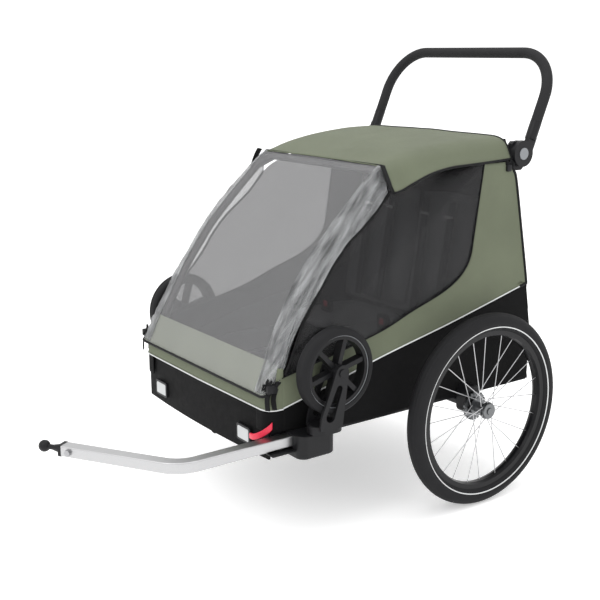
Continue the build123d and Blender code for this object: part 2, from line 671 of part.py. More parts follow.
def make_caster_fork():
    """Two legs with a long oval window, the axle between them, a broad base and the stem below it."""
    leg_centres = (CASTER_Y - LEG_GAP - LEG_THICK / 2, CASTER_Y + LEG_GAP + LEG_THICK / 2)
    base_top = FORK_BASE_Z + FORK_BASE_HEIGHT
    with BuildPart() as fork:
        with BuildSketch(top_plane(FORK_BASE_Z)):
            with Locations((STEM_X, (leg_centres[0] + leg_centres[1]) / 2)):
                RectangleRounded(84, LEG_GAP * 2 + LEG_THICK * 2, 27)
        extrude(amount=FORK_BASE_HEIGHT)
        fillet(fork.faces().sort_by(Axis.Z)[-1].edges(), 6)
        for centre in leg_centres:
            with BuildSketch(side_plane(centre + LEG_THICK / 2)):
                with BuildLine():
                    CenterArc((CASTER_X, CASTER_Z), 18, 0, 360)
                    CenterArc((STEM_X + 4, base_top + 12), 25, 0, 360)
                    CenterArc((STEM_X, base_top - 8), 31, 0, 180)
                    Line((STEM_X - 31, base_top - 8), (STEM_X + 31, base_top - 8))
                make_hull()
            extrude(amount=LEG_THICK)
            with BuildSketch(side_plane(centre + LEG_THICK / 2)):
                with BuildLine():
                    CenterArc((CASTER_X + 8, CASTER_Z - 35), 8, 0, 360)
                    CenterArc((STEM_X + 3, base_top + 20), 12, 0, 360)
                make_hull()
            extrude(amount=LEG_THICK, mode=Mode.SUBTRACT)
        add(disc(CASTER_X, CASTER_Z, CASTER_PIN, leg_centres[0], leg_centres[1]).part)
        add(disc(CASTER_X, CASTER_Z, 9.0, leg_centres[1] + LEG_THICK / 2, leg_centres[1] + LEG_THICK / 2 + 3).part)
        with BuildSketch(top_plane(264)):
            with Locations((STEM_X, STEM_Y)):
                Circle(STEM_RADIUS)
        extrude(amount=FORK_BASE_Z - 264)
    return fork


def make_caster_wheel():
    """Moulded wheel with six spokes."""
    half = CASTER_HALF - 4
    with BuildPart() as wheel:
        add(disc(CASTER_X, CASTER_Z, 84.0, CASTER_Y - half, CASTER_Y + half, 74.0).part)
        add(disc(CASTER_X, CASTER_Z, 17.0, CASTER_Y - LEG_GAP + 1, CASTER_Y + LEG_GAP - 1).part)
        with BuildSketch(side_plane(CASTER_Y + half - 3)):
            with Locations((CASTER_X, CASTER_Z)):
                with PolarLocations(45, 6, 46):
                    Rectangle(62, 11)
        extrude(amount=2 * (half - 3))
        with BuildSketch(side_plane(CASTER_Y + LEG_GAP)):
            with Locations((CASTER_X, CASTER_Z)):
                Circle(CASTER_PIN + RUNNING)
        extrude(amount=2 * LEG_GAP, mode=Mode.SUBTRACT)
    return wheel


def make_caster_tyre():
    with BuildPart() as tyre:
        add(disc(CASTER_X, CASTER_Z, CASTER_RADIUS, CASTER_Y - CASTER_HALF, CASTER_Y + CASTER_HALF, 84.0).part)
        rims = tyre.edges().filter_by(GeomType.CIRCLE).sort_by(SortBy.RADIUS)[-2:]
        fillet(rims, 11)
    return tyre


left_and_right("caster_fork", make_caster_fork())
left_and_right("caster_wheel", make_caster_wheel())
left_and_right("caster_tyre", make_caster_tyre())

# ---------------------------------------------------------------- tow arm

ARM_DIRECTION = Vector(cos(radians(ARM_TURN)), -sin(radians(ARM_TURN)), 0)
ARM_ACROSS = Vector(sin(radians(ARM_TURN)), cos(radians(ARM_TURN)), 0)
BALL_CENTRE = at(BALL_X, BALL_Y, ARM_Z)
ARM_END = BALL_CENTRE - ARM_DIRECTION * BALL_REACH
ARM_CORNER = ARM_END - ARM_DIRECTION * ((ARM_Y - ARM_END.Y) / sin(radians(ARM_TURN)))
BOLT_RADIUS, BOLT_BACK, PLUG_BACK = 4.0, 20.0, 44.0


def make_tow_arm():
    """Bent rectangular tube, closed at the hitch end by a wall, with holes for the cross bolt."""
    with BuildPart() as arm:
        with BuildLine() as path:
            FilletPolyline(at(ARM_REAR, ARM_Y, ARM_Z), ARM_CORNER, ARM_END, radius=ARM_BEND)
        with BuildSketch(Plane(at(ARM_REAR, ARM_Y, ARM_Z), x_dir=(0, 1, 0), z_dir=(1, 0, 0))):
            RectangleRounded(ARM_WIDTH, ARM_HEIGHT, 3)
            Rectangle(ARM_WIDTH - 2 * ARM_WALL, ARM_HEIGHT - 2 * ARM_WALL, mode=Mode.SUBTRACT)
        sweep(path=path.line)
        with BuildSketch(Plane(ARM_END - ARM_DIRECTION * BOLT_BACK - ARM_ACROSS * 20, z_dir=ARM_ACROSS)):
            Circle(BOLT_RADIUS)
        extrude(amount=40, mode=Mode.SUBTRACT)
    return arm


def make_tow_bolt():
    """Hexagon bolt through the arm's end with its nut, and a round plug beside it."""
    half = ARM_WIDTH / 2
    with BuildPart() as bolt:
        centre = ARM_END - ARM_DIRECTION * BOLT_BACK
        with BuildSketch(Plane(centre - ARM_ACROSS * (half + 5), z_dir=ARM_ACROSS)):
            Circle(BOLT_RADIUS)
        extrude(amount=2 * half + 11)
        for side, height in ((1, 6.0), (-1, 5.0)):
            with BuildSketch(Plane(centre + ARM_ACROSS * (side * half), z_dir=ARM_ACROSS * side)):
                RegularPolygon(7.5, 6)
            extrude(amount=height)
    return bolt


def make_hitch():
    """Ball, tapered neck and a collar that caps the arm's end."""
    with BuildPart() as hitch:
        with BuildSketch(Plane(ARM_END, z_dir=ARM_DIRECTION, x_dir=ARM_ACROSS)):
            RectangleRounded(ARM_WIDTH + 2, ARM_HEIGHT + 2, 4)
        extrude(amount=7)
        with BuildSketch(Plane(ARM_END + ARM_DIRECTION * 7, z_dir=ARM_DIRECTION)):
            Circle(11)
        with BuildSketch(Plane(ARM_END + ARM_DIRECTION * 30, z_dir=ARM_DIRECTION)):
            Circle(6)
        loft()
        with BuildSketch(Plane(ARM_END + ARM_DIRECTION * 30, z_dir=ARM_DIRECTION)):
            Circle(6)
        extrude(amount=18)
        with Locations(BALL_CENTRE):
            Sphere(BALL_RADIUS)
    return hitch


pieces["tow_arm_tube"] = make_tow_arm()
pieces["tow_bolt"] = make_tow_bolt()
pieces["hitch_ball"] = make_hitch()

# ---------------------------------------------------------------- fabric body

ROOF_FRONT, ROOF_REAR, ROOF_THICK = 240.0, -136.0, 3.0
# Half width and height of the shoulders, then of the hem, at the roof's two ends.
ROOF_FRONT_SECTION = (256.0, 860.0, 303.0, 803.0)
ROOF_REAR_SECTION = (264.0, 914.0, 303.0, 852.0)
ROOF_HEM = [(241, 807), (220, 810), (189, 820), (134, 840), (72, 851), (18, 852), (-137, 853)]


def roof_section(x):
    """The roof's section at x, which may lie past its ends."""
    share = (x - ROOF_REAR) / (ROOF_FRONT - ROOF_REAR)
    return [rear + share * (front - rear) for front, rear in zip(ROOF_FRONT_SECTION, ROOF_REAR_SECTION)]


def roof_body(rear, front, inset, drop):
    """A tapered block under the roof's outline, drawn in by an inset and let down by a drop."""
    with BuildPart() as block:
        for x in (front, rear):
            top_half, top_z, low_half, low_z = roof_section(x)
            with BuildSketch(front_plane(x)):
                with BuildLine():
                    Polyline(
                        (inset - low_half, low_z - drop), (inset - low_half, low_z), (inset - top_half, top_z - inset),
                        (top_half - inset, top_z - inset), (low_half - inset, low_z), (low_half - inset, low_z - drop),
                        close=True,
                    )
                make_face()
        loft(ruled=True)
    return block


def make_roof():
    with BuildPart() as roof:
        add(roof_body(ROOF_REAR, ROOF_FRONT, 0.0, 1.0).part)
        add(roof_body(ROOF_REAR + ROOF_THICK, ROOF_FRONT + 60, ROOF_THICK, 90.0).part, mode=Mode.SUBTRACT)
        with BuildSketch(side_plane(310)):
            with BuildLine():
                Polyline(*ROOF_HEM, (-137, 780), (241, 780), close=True)
            make_face()
        extrude(amount=620, mode=Mode.SUBTRACT)
    return roof


def make_side_window():
    """Flat lower part, and the triangle that leans in to the roof's front corner."""
    rear_top, front_top, front_low = at(-40, 301, 847), at(236, 256, 848), at(560, 301, 430)
    lean = (front_top - rear_top).cross(front_low - rear_top).normalized()
    inward = lean if lean.Y < 0 else -lean
    with BuildPart() as window:
        add(side_slab([*WINDOW_EDGE, (560, 430)], SKIN_INNER, 301.0).part)
        extrude(Face(Wire.make_polygon([rear_top, front_top, front_low])), amount=1.5, dir=inward)
    return window


SIDE_PANEL = [(-135, 849), (-159, 803), (-214, 543), *PIPING, (588, 343), (572, 400), (562, 417.5),
              *reversed(WINDOW_EDGE)]
SIDE_SKIRT = [PIPING[0], (-226, 481), (-236, 418), (-236, 265), (430, 265), (440, 290), (586, 290), (588, 343),
              PIPING[2], PIPING[1]]
REAR_PROFILE = [(-239, 346), (-236, 418), (-226, 481), (-214, 543), (-159, 803), (-157.5, 808), (-154.5, 808),
                (-156, 803), (-211, 543), (-223, 481), (-233, 418), (-236, 346)]

pieces["roof_canopy"] = make_roof()
pieces["side_windows"] = pair(make_side_window())
pieces["side_panels"] = pair(side_slab(SIDE_PANEL, SKIN_INNER, SKIN_OUTER))
pieces["side_skirts"] = pair(side_slab(SIDE_SKIRT, SKIN_INNER, SKIN_OUTER))
pieces["rear_panel"] = side_slab(REAR_PROFILE, -299.0, 299.0)


def make_cover_window():
    """Bowed clear sheet from the roof's front edge to the fold above the hem, with its two side gussets."""
    inner = [(x - 1.5, z - 1.3) for x, z in COVER_RIDGE]
    with BuildPart() as sheet:
        add(side_slab([*COVER_RIDGE, *reversed(inner)], -COVER_HALF, COVER_HALF).part)
        for side in (1, -1):
            low, high = sorted((side * (COVER_HALF - 2), side * COVER_HALF))
            add(side_slab([*COVER_RIDGE[:-1], *COVER_SIDE], low, high).part)
    return sheet


def make_cover_band():
    """Fabric strip below the window, with the round piping of its hem."""
    fold_x, fold_z = COVER_RIDGE[-1]
    hem_x, hem_z = COVER_HEM
    with BuildPart() as band:
        add(side_slab([(fold_x + 0.3, fold_z - 2), (hem_x, hem_z), (hem_x - 3, hem_z), (fold_x - 2.7, fold_z - 2)],
                      -COVER_BAND_HALF, COVER_BAND_HALF).part)
        add(disc(hem_x, hem_z, 4.0, -COVER_BAND_HALF, COVER_BAND_HALF).part)
    return band


pieces["cover_window"] = make_cover_window()
pieces["cover_band"] = make_cover_band()

# ---------------------------------------------------------------- seat

SEAT_HALF, SEAT_Y, SEAT_BOTTOM, SEAT_TOP = 235.0, 120.0, 385.0, 415.0
BACK_LOW, BACK_HIGH, BACK_THICK = (-55.0, 416.0), (-108.0, 760.0), 20.0
BUCKLE_X, BUCKLE_TOP = 118.0, 456.0


def make_seat_base():
    with BuildPart() as seat:
        with BuildSketch(top_plane(SEAT_BOTTOM)):
            with Locations((60, 0)):
                RectangleRounded(260, 2 * SEAT_HALF, 20)
        extrude(amount=SEAT_TOP - SEAT_BOTTOM)
    return seat


def make_harness():
    """Two shoulder straps for each child, flat on the backrest."""
    low_x, low_z = BACK_LOW[0], BACK_LOW[1] + 20
    high_x, high_z = BACK_HIGH[0] + 6, BACK_HIGH[1] - 40
    with BuildPart() as straps:
        for seat_y in (-SEAT_Y, SEAT_Y):
            for offset_y in (-45, 45):
                middle = seat_y + offset_y
                add(side_slab([(low_x + 2, low_z), (low_x + 4, low_z), (high_x + 4, high_z), (high_x + 2, high_z)],
                              middle - 13, middle + 13).part)
    return straps


def make_buckle():
    """Crotch buckle that stands on the seat, with a square recess for its button."""
    with BuildPart() as buckle:
        with BuildSketch(front_plane(BUCKLE_X - 6)):
            with Locations((SEAT_Y, (BUCKLE_TOP + SEAT_TOP + 0.5) / 2)):
                RectangleRounded(36, BUCKLE_TOP - SEAT_TOP - 0.5, 6)
        extrude(amount=12)
        with BuildSketch(front_plane(BUCKLE_X)):
            with Locations((SEAT_Y, BUCKLE_TOP - 17)):
                Rectangle(16.6, 16.6)
        extrude(amount=6, mode=Mode.SUBTRACT)
    return buckle


def make_buckle_button():
    with BuildPart() as button:
        with BuildSketch(front_plane(BUCKLE_X + 3)):
            with Locations((SEAT_Y, BUCKLE_TOP - 17)):
                Rectangle(16, 16)
        extrude(amount=4)
    return button


pieces["seat_base"] = make_seat_base()
pieces["backrest"] = side_slab(
    [BACK_LOW, BACK_HIGH, (BACK_HIGH[0] - BACK_THICK, BACK_HIGH[1]), (BACK_LOW[0] - BACK_THICK, BACK_LOW[1])],
    -SEAT_HALF, SEAT_HALF,
)
pieces["harness_straps"] = make_harness()
pieces["crotch_buckles"] = pair(make_buckle())
left_and_right("buckle_button", make_buckle_button())

# ---------------------------------------------------------------- files

os.makedirs("parts", exist_ok=True)
for name, piece in pieces.items():
    piece.part.label = name
    export_step(piece.part, f"parts/{name}.step")
print(len(pieces), "pieces")
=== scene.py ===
"""Looks of a two-seat child bicycle trailer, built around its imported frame.

Outline points are in millimetres: forward of the wheel axle, to the left of the middle, and up from the ground.
at() turns them into the frame's metres.
"""

import json
from math import cos, pi, radians, sin

import bmesh
import bpy
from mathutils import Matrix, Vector, noise


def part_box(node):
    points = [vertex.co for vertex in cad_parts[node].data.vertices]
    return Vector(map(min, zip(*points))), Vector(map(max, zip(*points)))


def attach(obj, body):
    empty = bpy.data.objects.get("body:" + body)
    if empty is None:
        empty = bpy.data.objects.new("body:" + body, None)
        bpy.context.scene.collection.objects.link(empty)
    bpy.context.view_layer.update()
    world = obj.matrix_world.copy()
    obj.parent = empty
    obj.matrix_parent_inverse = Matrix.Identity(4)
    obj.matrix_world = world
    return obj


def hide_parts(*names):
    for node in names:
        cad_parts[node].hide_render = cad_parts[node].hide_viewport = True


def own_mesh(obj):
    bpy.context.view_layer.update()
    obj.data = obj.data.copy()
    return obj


bl_info = {
    "name": "Child bicycle trailer",
    "version": (1, 0, 0),
    "blender": (4, 5, 0),
    "location": "View3D > Sidebar > Trailer",
    "description": "Builds the fabric, film, tyres and finishes of a folding child bicycle trailer",
    "category": "Object",
}

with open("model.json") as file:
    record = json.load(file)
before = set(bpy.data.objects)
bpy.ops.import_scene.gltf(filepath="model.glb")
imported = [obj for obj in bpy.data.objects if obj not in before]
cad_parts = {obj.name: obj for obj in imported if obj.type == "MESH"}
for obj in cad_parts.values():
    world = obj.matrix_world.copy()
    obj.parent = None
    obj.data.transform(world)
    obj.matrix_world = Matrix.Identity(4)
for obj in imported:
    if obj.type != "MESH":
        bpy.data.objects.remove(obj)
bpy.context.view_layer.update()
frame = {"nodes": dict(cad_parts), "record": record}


def box_middle(node):
    low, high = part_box(node)
    return (low + high) / 2


AXLE = box_middle("tyre_left")
WHEEL_RADIUS_MM = (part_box("tyre_left")[1].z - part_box("tyre_left")[0].z) * 500


def at(x, y, z):
    """A frame point from millimetres forward of the axle, left of the middle and above the ground."""
    return Vector((AXLE.x + x / 1000, y / 1000, z / 1000))


# ---------------------------------------------------------------- outlines

ROOF_FRONT, ROOF_REAR = 243, -137
ROOF_RIDGE = [(243, 863), (215, 871), (160, 886), (80, 901), (-20, 911), (-100, 914), (-137, 914)]
ROOF_HEM = [(243, 803), (222, 807), (189, 820), (134, 839), (72, 849), (18, 852), (-70, 855), (-137, 858)]
ROOF_SHOULDER_FRONT, ROOF_SHOULDER_REAR, ROOF_HEM_HALF = 254, 274, 302
WINDOW_TOP = [(-42, 854), (18, 855), (72, 853), (134, 843), (189, 826), (232, 800), (272, 754), (316, 718), (352, 690),
              (395, 645), (417, 614), (458, 561), (492, 520), (521, 478), (538, 448), (552, 420)]
WINDOW_LOW = [(-42, 851), (-29, 761), (-16, 673), (-8, 626), (10, 594), (40, 568), (88, 544), (184, 512), (276, 479),
              (420, 445), (560, 414)]
PANEL_REAR = [(-132, 852), (-147, 830), (-159, 803), (-187, 673), (-214, 543), (-214, 530), (-190, 524), (50, 465),
              (279, 415), (430, 375), (556, 343)]
SKIRT_TOP = [(-214, 531), (-190, 524), (50, 465), (279, 415), (430, 375), (556, 343)]
SKIRT_LOW = [(-236, 418), (-237, 280), (-228, 266), (-104, 264), (105, 270), (300, 266), (430, 272), (556, 290)]
REAR_CURVE = [(-238, 268), (-236, 418), (-226, 481), (-214, 543), (-159, 803), (-151, 850), (-151, 905)]
FILM_RIDGE = [(238, 861), (285, 826), (335, 779), (385, 730), (430, 679), (468, 629), (506, 573), (535, 523), (557, 480),
              (577, 437), (592, 404), (606, 375)]
FILM_EDGE = [(232, 792), (272, 756), (316, 719), (352, 692), (395, 646), (417, 615), (458, 562), (492, 520), (521, 478),
             (540, 443), (566, 404), (592, 382)]
FILM_RIDGE_HALF = [(0, 249), (0.25, 260), (0.6, 264), (0.76, 272), (0.88, 286), (1, 291)]
FILM_EDGE_HALF = [(0, 266), (0.3, 266), (0.6, 267), (0.76, 275), (0.88, 288), (1, 294)]
BAND_CURVE = [(571, 436), (586, 400), (597, 370), (601, 341)]
SIDE_FRONT_X = 556
CORNER_RADIUS = 34

# Across half the film, as shares: flat to FLAT_END, rounded over to TURN_END, then the gusset back to the window.
FILM_FLAT_END, FILM_TURN_END = 0.80, 0.89
FILM_TURN, FILM_TURN_DEPTH = 15.0, 18.0
BODY_HALF, FILM_DRAW_IN, NOSE_DRAW_IN = 301.5, 36, 6
# Thin grey rings on the caster rims, whose colour paints the highlight along the rim edge.
CASTER_GLINT_INNER, CASTER_GLINT_OUTER = 82.2, 83.8
CASTER_GLINT_NEAR, CASTER_GLINT_FAR = 13.6, 15.2
TYRE_SECTION, TYRE_SEAT_RADIUS = 23.5, 205.0
TYRE_EDGE_DEGREES = 54


def along(points, share):
    """Point at a share of a smooth curve through the points, spaced by their chords."""
    points = [Vector(p) for p in points]
    chords = [(b - a).length for a, b in zip(points, points[1:])]
    wanted = max(0.0, min(1.0, share)) * sum(chords)
    index = 0
    while index < len(chords) - 1 and wanted > chords[index]:
        wanted -= chords[index]
        index += 1
    t = min(1.0, wanted / chords[index])
    b, c = points[index], points[index + 1]
    a = points[index - 1] if index else b
    d = points[index + 2] if index + 2 < len(points) else c
    return 0.5 * (2 * b + (c - a) * t + (2 * a - 5 * b + 4 * c - d) * t * t + (3 * b - a - 3 * c + d) * t * t * t)


def smooth_step(low, high, value):
    t = max(0.0, min(1.0, (value - low) / (high - low)))
    return t * t * (3 - 2 * t)


def body_half(x, z):
    """Half width of the fabric body: flat sides, drawn in along the front film and towards the nose."""
    past_diagonal = ((x + 40) * 417 + (z - 847) * 600) / 115692
    drawn_in = FILM_DRAW_IN * smooth_step(0.0, 0.42, past_diagonal)
    nose = NOSE_DRAW_IN * smooth_step(380, 600, x)
    return BODY_HALF - drawn_in - nose


def width_at(table, share):
    """Straight-line reading of a (share, half width) table."""
    for (low, first), (high, second) in zip(table, table[1:]):
        if share <= high:
            return first + (second - first) * (share - low) / (high - low)
    return table[-1][1]


def fabric_ripple(point, size, depth):
    """Shallow unevenness of a taut cloth, in millimetres."""
    return depth * noise.noise(point / size)


# ---------------------------------------------------------------- mesh helpers


def keep_mesh(bm, name, smooth=True):
    """Ends a bmesh as an object at the origin."""
    mesh = bpy.data.meshes.new(name)
    bm.to_mesh(mesh)
    bm.free()
    mesh.shade_smooth() if smooth else mesh.shade_flat()
    piece = bpy.data.objects.new(name, mesh)
    bpy.context.scene.collection.objects.link(piece)
    return piece


def placed_grid(name, across, down, place, outward):
    """A grid whose points go where place(u, v) says, with its faces towards outward."""
    bm = bmesh.new()
    bmesh.ops.create_grid(bm, x_segments=across, y_segments=down, size=0.5)
    for vert in bm.verts:
        vert.co = place(vert.co.x + 0.5, vert.co.y + 0.5)
    bm.normal_update()
    facing = sum((f.normal * f.calc_area() for f in bm.faces), Vector())
    if facing.dot(Vector(outward)) < 0:
        bmesh.ops.reverse_faces(bm, faces=bm.faces)
    return keep_mesh(bm, name)


def thicken(piece, thickness_mm):
    """Gives a sheet its thickness, inwards from the modelled face."""
    solid = piece.modifiers.new("thickness", "SOLIDIFY")
    solid.thickness = thickness_mm / 1000
    solid.offset = -1
    return piece


def apply_modifiers(piece):
    """Makes the modifiers' result the piece's own mesh."""
    bpy.context.view_layer.update()
    result = bpy.data.meshes.new_from_object(piece.evaluated_get(bpy.context.evaluated_depsgraph_get()))
    piece.modifiers.clear()
    piece.data = result
    return piece


def tube_along(name, points, radius_mm):
    """A round sewn edge through frame points."""
    curve = bpy.data.curves.new(name, "CURVE")
    curve.dimensions = "3D"
    curve.bevel_depth = radius_mm / 1000
    curve.bevel_resolution = 3
    curve.use_fill_caps = True
    spline = curve.splines.new("POLY")
    spline.points.add(len(points) - 1)
    for point, spot in zip(spline.points, points):
        point.co = (*spot, 1)
    helper = bpy.data.objects.new(name, curve)
    bpy.context.scene.collection.objects.link(helper)
    bpy.context.view_layer.update()
    mesh = bpy.data.meshes.new_from_object(helper.evaluated_get(bpy.context.evaluated_depsgraph_get()))
    bpy.data.objects.remove(helper)
    mesh.shade_smooth()
    piece = bpy.data.objects.new(name, mesh)
    bpy.context.scene.collection.objects.link(piece)
    return piece


def strap_along(name, points, width_mm, thickness_mm, side_vector, outward):
    """A flat strap through frame points."""
    side = Vector(side_vector).normalized() * width_mm / 2000

    def place(u, v):
        spot = along(points, v)
        return spot + side * (2 * u - 1)

    strap = placed_grid(name, 4, max(8, 3 * len(points)), place, outward)
    return thicken(strap, thickness_mm)


def spun(name, profile, centre, steps=144):
    """A closed ring turned about the wheel's axis from (radius, sideways) points."""
    bm = bmesh.new()
    verts = [bm.verts.new(centre + Vector((0, y / 1000, r / 1000))) for r, y in profile]
    edges = [bm.edges.new((a, b)) for a, b in zip(verts, verts[1:] + verts[:1])]
    bmesh.ops.spin(bm, geom=verts + edges, cent=centre, axis=(0, 1, 0), angle=2 * pi, steps=steps, use_merge=True)
    bmesh.ops.remove_doubles(bm, verts=bm.verts, dist=1e-6)
    bmesh.ops.recalc_face_normals(bm, faces=bm.faces)
    return keep_mesh(bm, name)


def rounded_block(name, low, high, bevel_mm, segments=3):
    """A box between two frame points, with rounded edges."""
    bm = bmesh.new()
    bmesh.ops.create_cube(bm, size=1)
    for vert in bm.verts:
        for axis in range(3):
            vert.co[axis] = low[axis] if vert.co[axis] < 0 else high[axis]
    bmesh.ops.bevel(bm, geom=bm.edges, offset=bevel_mm / 1000, segments=segments, profile=0.5, affect="EDGES",
                    material=-1)
    bmesh.ops.recalc_face_normals(bm, faces=bm.faces)
    return keep_mesh(bm, name)


# ---------------------------------------------------------------- finishes


def new_finish(name):
    material = bpy.data.materials.new(name)
    material.use_nodes = True
    tree = material.node_tree
    shader = tree.nodes["Principled BSDF"]
    place = tree.nodes.new("ShaderNodeTexCoord").outputs["Object"]
    return material, tree, shader, place


def tinted_variation(tree, shader, place, colour, scale, amount):
    """Uneven colour around the base colour."""
    cloud = tree.nodes.new("ShaderNodeTexNoise")
    cloud.inputs["Scale"].default_value = scale
    cloud.inputs["Detail"].default_value = 4
    ramp = tree.nodes.new("ShaderNodeValToRGB")
    ramp.color_ramp.elements[0].position = 0.3
    ramp.color_ramp.elements[1].position = 0.7
    ramp.color_ramp.elements[0].color = (*[c * (1 - amount) for c in colour], 1)
    ramp.color_ramp.elements[1].color = (*[min(1.0, c * (1 + amount)) for c in colour], 1)
    tree.links.new(place, cloud.inputs["Vector"])
    tree.links.new(cloud.outputs["Fac"], ramp.inputs["Fac"])
    tree.links.new(ramp.outputs["Color"], shader.inputs["Base Color"])
    return cloud


def bump_from(tree, shader, height, strength, distance_mm):
    bump = tree.nodes.new("ShaderNodeBump")
    bump.inputs["Strength"].default_value = strength
    bump.inputs["Distance"].default_value = distance_mm / 1000
    tree.links.new(height, bump.inputs["Height"])
    tree.links.new(bump.outputs["Normal"], shader.inputs["Normal"])


def roughness_clouds(tree, shader, place, low, high, scale):
    cloud = tree.nodes.new("ShaderNodeTexNoise")
    cloud.inputs["Scale"].default_value = scale
    cloud.inputs["Detail"].default_value = 3
    spread = tree.nodes.new("ShaderNodeMapRange")
    spread.inputs["To Min"].default_value = low
    spread.inputs["To Max"].default_value = high
    tree.links.new(place, cloud.inputs["Vector"])
    tree.links.new(cloud.outputs["Fac"], spread.inputs["Value"])
    tree.links.new(spread.outputs["Result"], shader.inputs["Roughness"])


def thread_height(tree, place, scale):
    """Crossed threads: bands along each axis, added so that a weave shows on any side."""
    total = None
    for direction in ("X", "Y", "Z"):
        band = tree.nodes.new("ShaderNodeTexWave")
        band.bands_direction = direction
        band.inputs["Scale"].default_value = scale
        band.inputs["Distortion"].default_value = 0.4
        tree.links.new(place, band.inputs["Vector"])
        if total is None:
            total = band.outputs["Fac"]
            continue
        add = tree.nodes.new("ShaderNodeMath")
        add.operation = "ADD"
        tree.links.new(total, add.inputs[0])
        tree.links.new(band.outputs["Fac"], add.inputs[1])
        total = add.outputs["Value"]
    return total


def woven_finish(name, colour, scale=420, roughness=(0.62, 0.78), sheen=0.25, depth_mm=0.25, strength=0.5,
                 gloss=0.2):
    """Coated woven cloth."""
    material, tree, shader, place = new_finish(name)
    tinted_variation(tree, shader, place, colour, 9, 0.07)
    roughness_clouds(tree, shader, place, *roughness, 60)
    bump_from(tree, shader, thread_height(tree, place, scale), strength, depth_mm)
    shader.inputs["Sheen Weight"].default_value = sheen
    shader.inputs["Sheen Roughness"].default_value = 0.5
    shader.inputs["Specular IOR Level"].default_value = gloss
    return material


def moulded_finish(name, colour, roughness=(0.42, 0.55), grain_scale=900, depth_mm=0.06, coat=0.0, metallic=0.0,
                   gloss=0.5):
    """Moulded plastic, rubber or painted metal with a fine grain."""
    material, tree, shader, place = new_finish(name)
    tinted_variation(tree, shader, place, colour, 14, 0.08)
    roughness_clouds(tree, shader, place, *roughness, 35)
    grain = tree.nodes.new("ShaderNodeTexNoise")
    grain.inputs["Scale"].default_value = grain_scale
    grain.inputs["Detail"].default_value = 2
    tree.links.new(place, grain.inputs["Vector"])
    bump_from(tree, shader, grain.outputs["Fac"], 0.4, depth_mm)
    shader.inputs["Coat Weight"].default_value = coat
    shader.inputs["Metallic"].default_value = metallic
    shader.inputs["Specular IOR Level"].default_value = gloss
    return material


def brushed_finish(name, colour, roughness=(0.26, 0.42), stretch=(4, 220, 220)):
    """Drawn metal with fine lines along the tube."""
    material, tree, shader, place = new_finish(name)
    lines = tree.nodes.new("ShaderNodeMapping")
    lines.inputs["Scale"].default_value = stretch
    tree.links.new(place, lines.inputs["Vector"])
    streaks = tinted_variation(tree, shader, lines.outputs["Vector"], colour, 6, 0.06)
    roughness_clouds(tree, shader, lines.outputs["Vector"], *roughness, 5)
    bump_from(tree, shader, streaks.outputs["Fac"], 0.15, 0.05)
    shader.inputs["Metallic"].default_value = 1.0
    return material


def film_finish(name, colour, alpha, roughness=(0.06, 0.14), gloss=0.5, streaks=(3, 0.05)):
    """Clear or tinted plastic film: glossy, and partly see-through."""
    material, tree, shader, place = new_finish(name)
    grain = tree.nodes.new("ShaderNodeMapping")
    grain.vector_type = "TEXTURE"
    grain.inputs["Rotation"].default_value = (0, radians(51.7), 0)
    grain.inputs["Scale"].default_value = (7, 1.4, 1)
    tree.links.new(place, grain.inputs["Vector"])
    # Streaked colour: faint random tone at the default strength, and a painted highlight along the folds where it is
    # strong, as on the side strips.
    tinted_variation(tree, shader, grain.outputs["Vector"], colour, *streaks)
    roughness_clouds(tree, shader, place, *roughness, 12)
    ripple = tree.nodes.new("ShaderNodeTexNoise")
    ripple.inputs["Scale"].default_value = 7
    ripple.inputs["Detail"].default_value = 2
    tree.links.new(place, ripple.inputs["Vector"])
    bump_from(tree, shader, ripple.outputs["Fac"], 0.35, 6.0)
    shader.inputs["Alpha"].default_value = alpha
    shader.inputs["IOR"].default_value = 1.45
    shader.inputs["Specular IOR Level"].default_value = gloss
    return material


finishes = {}


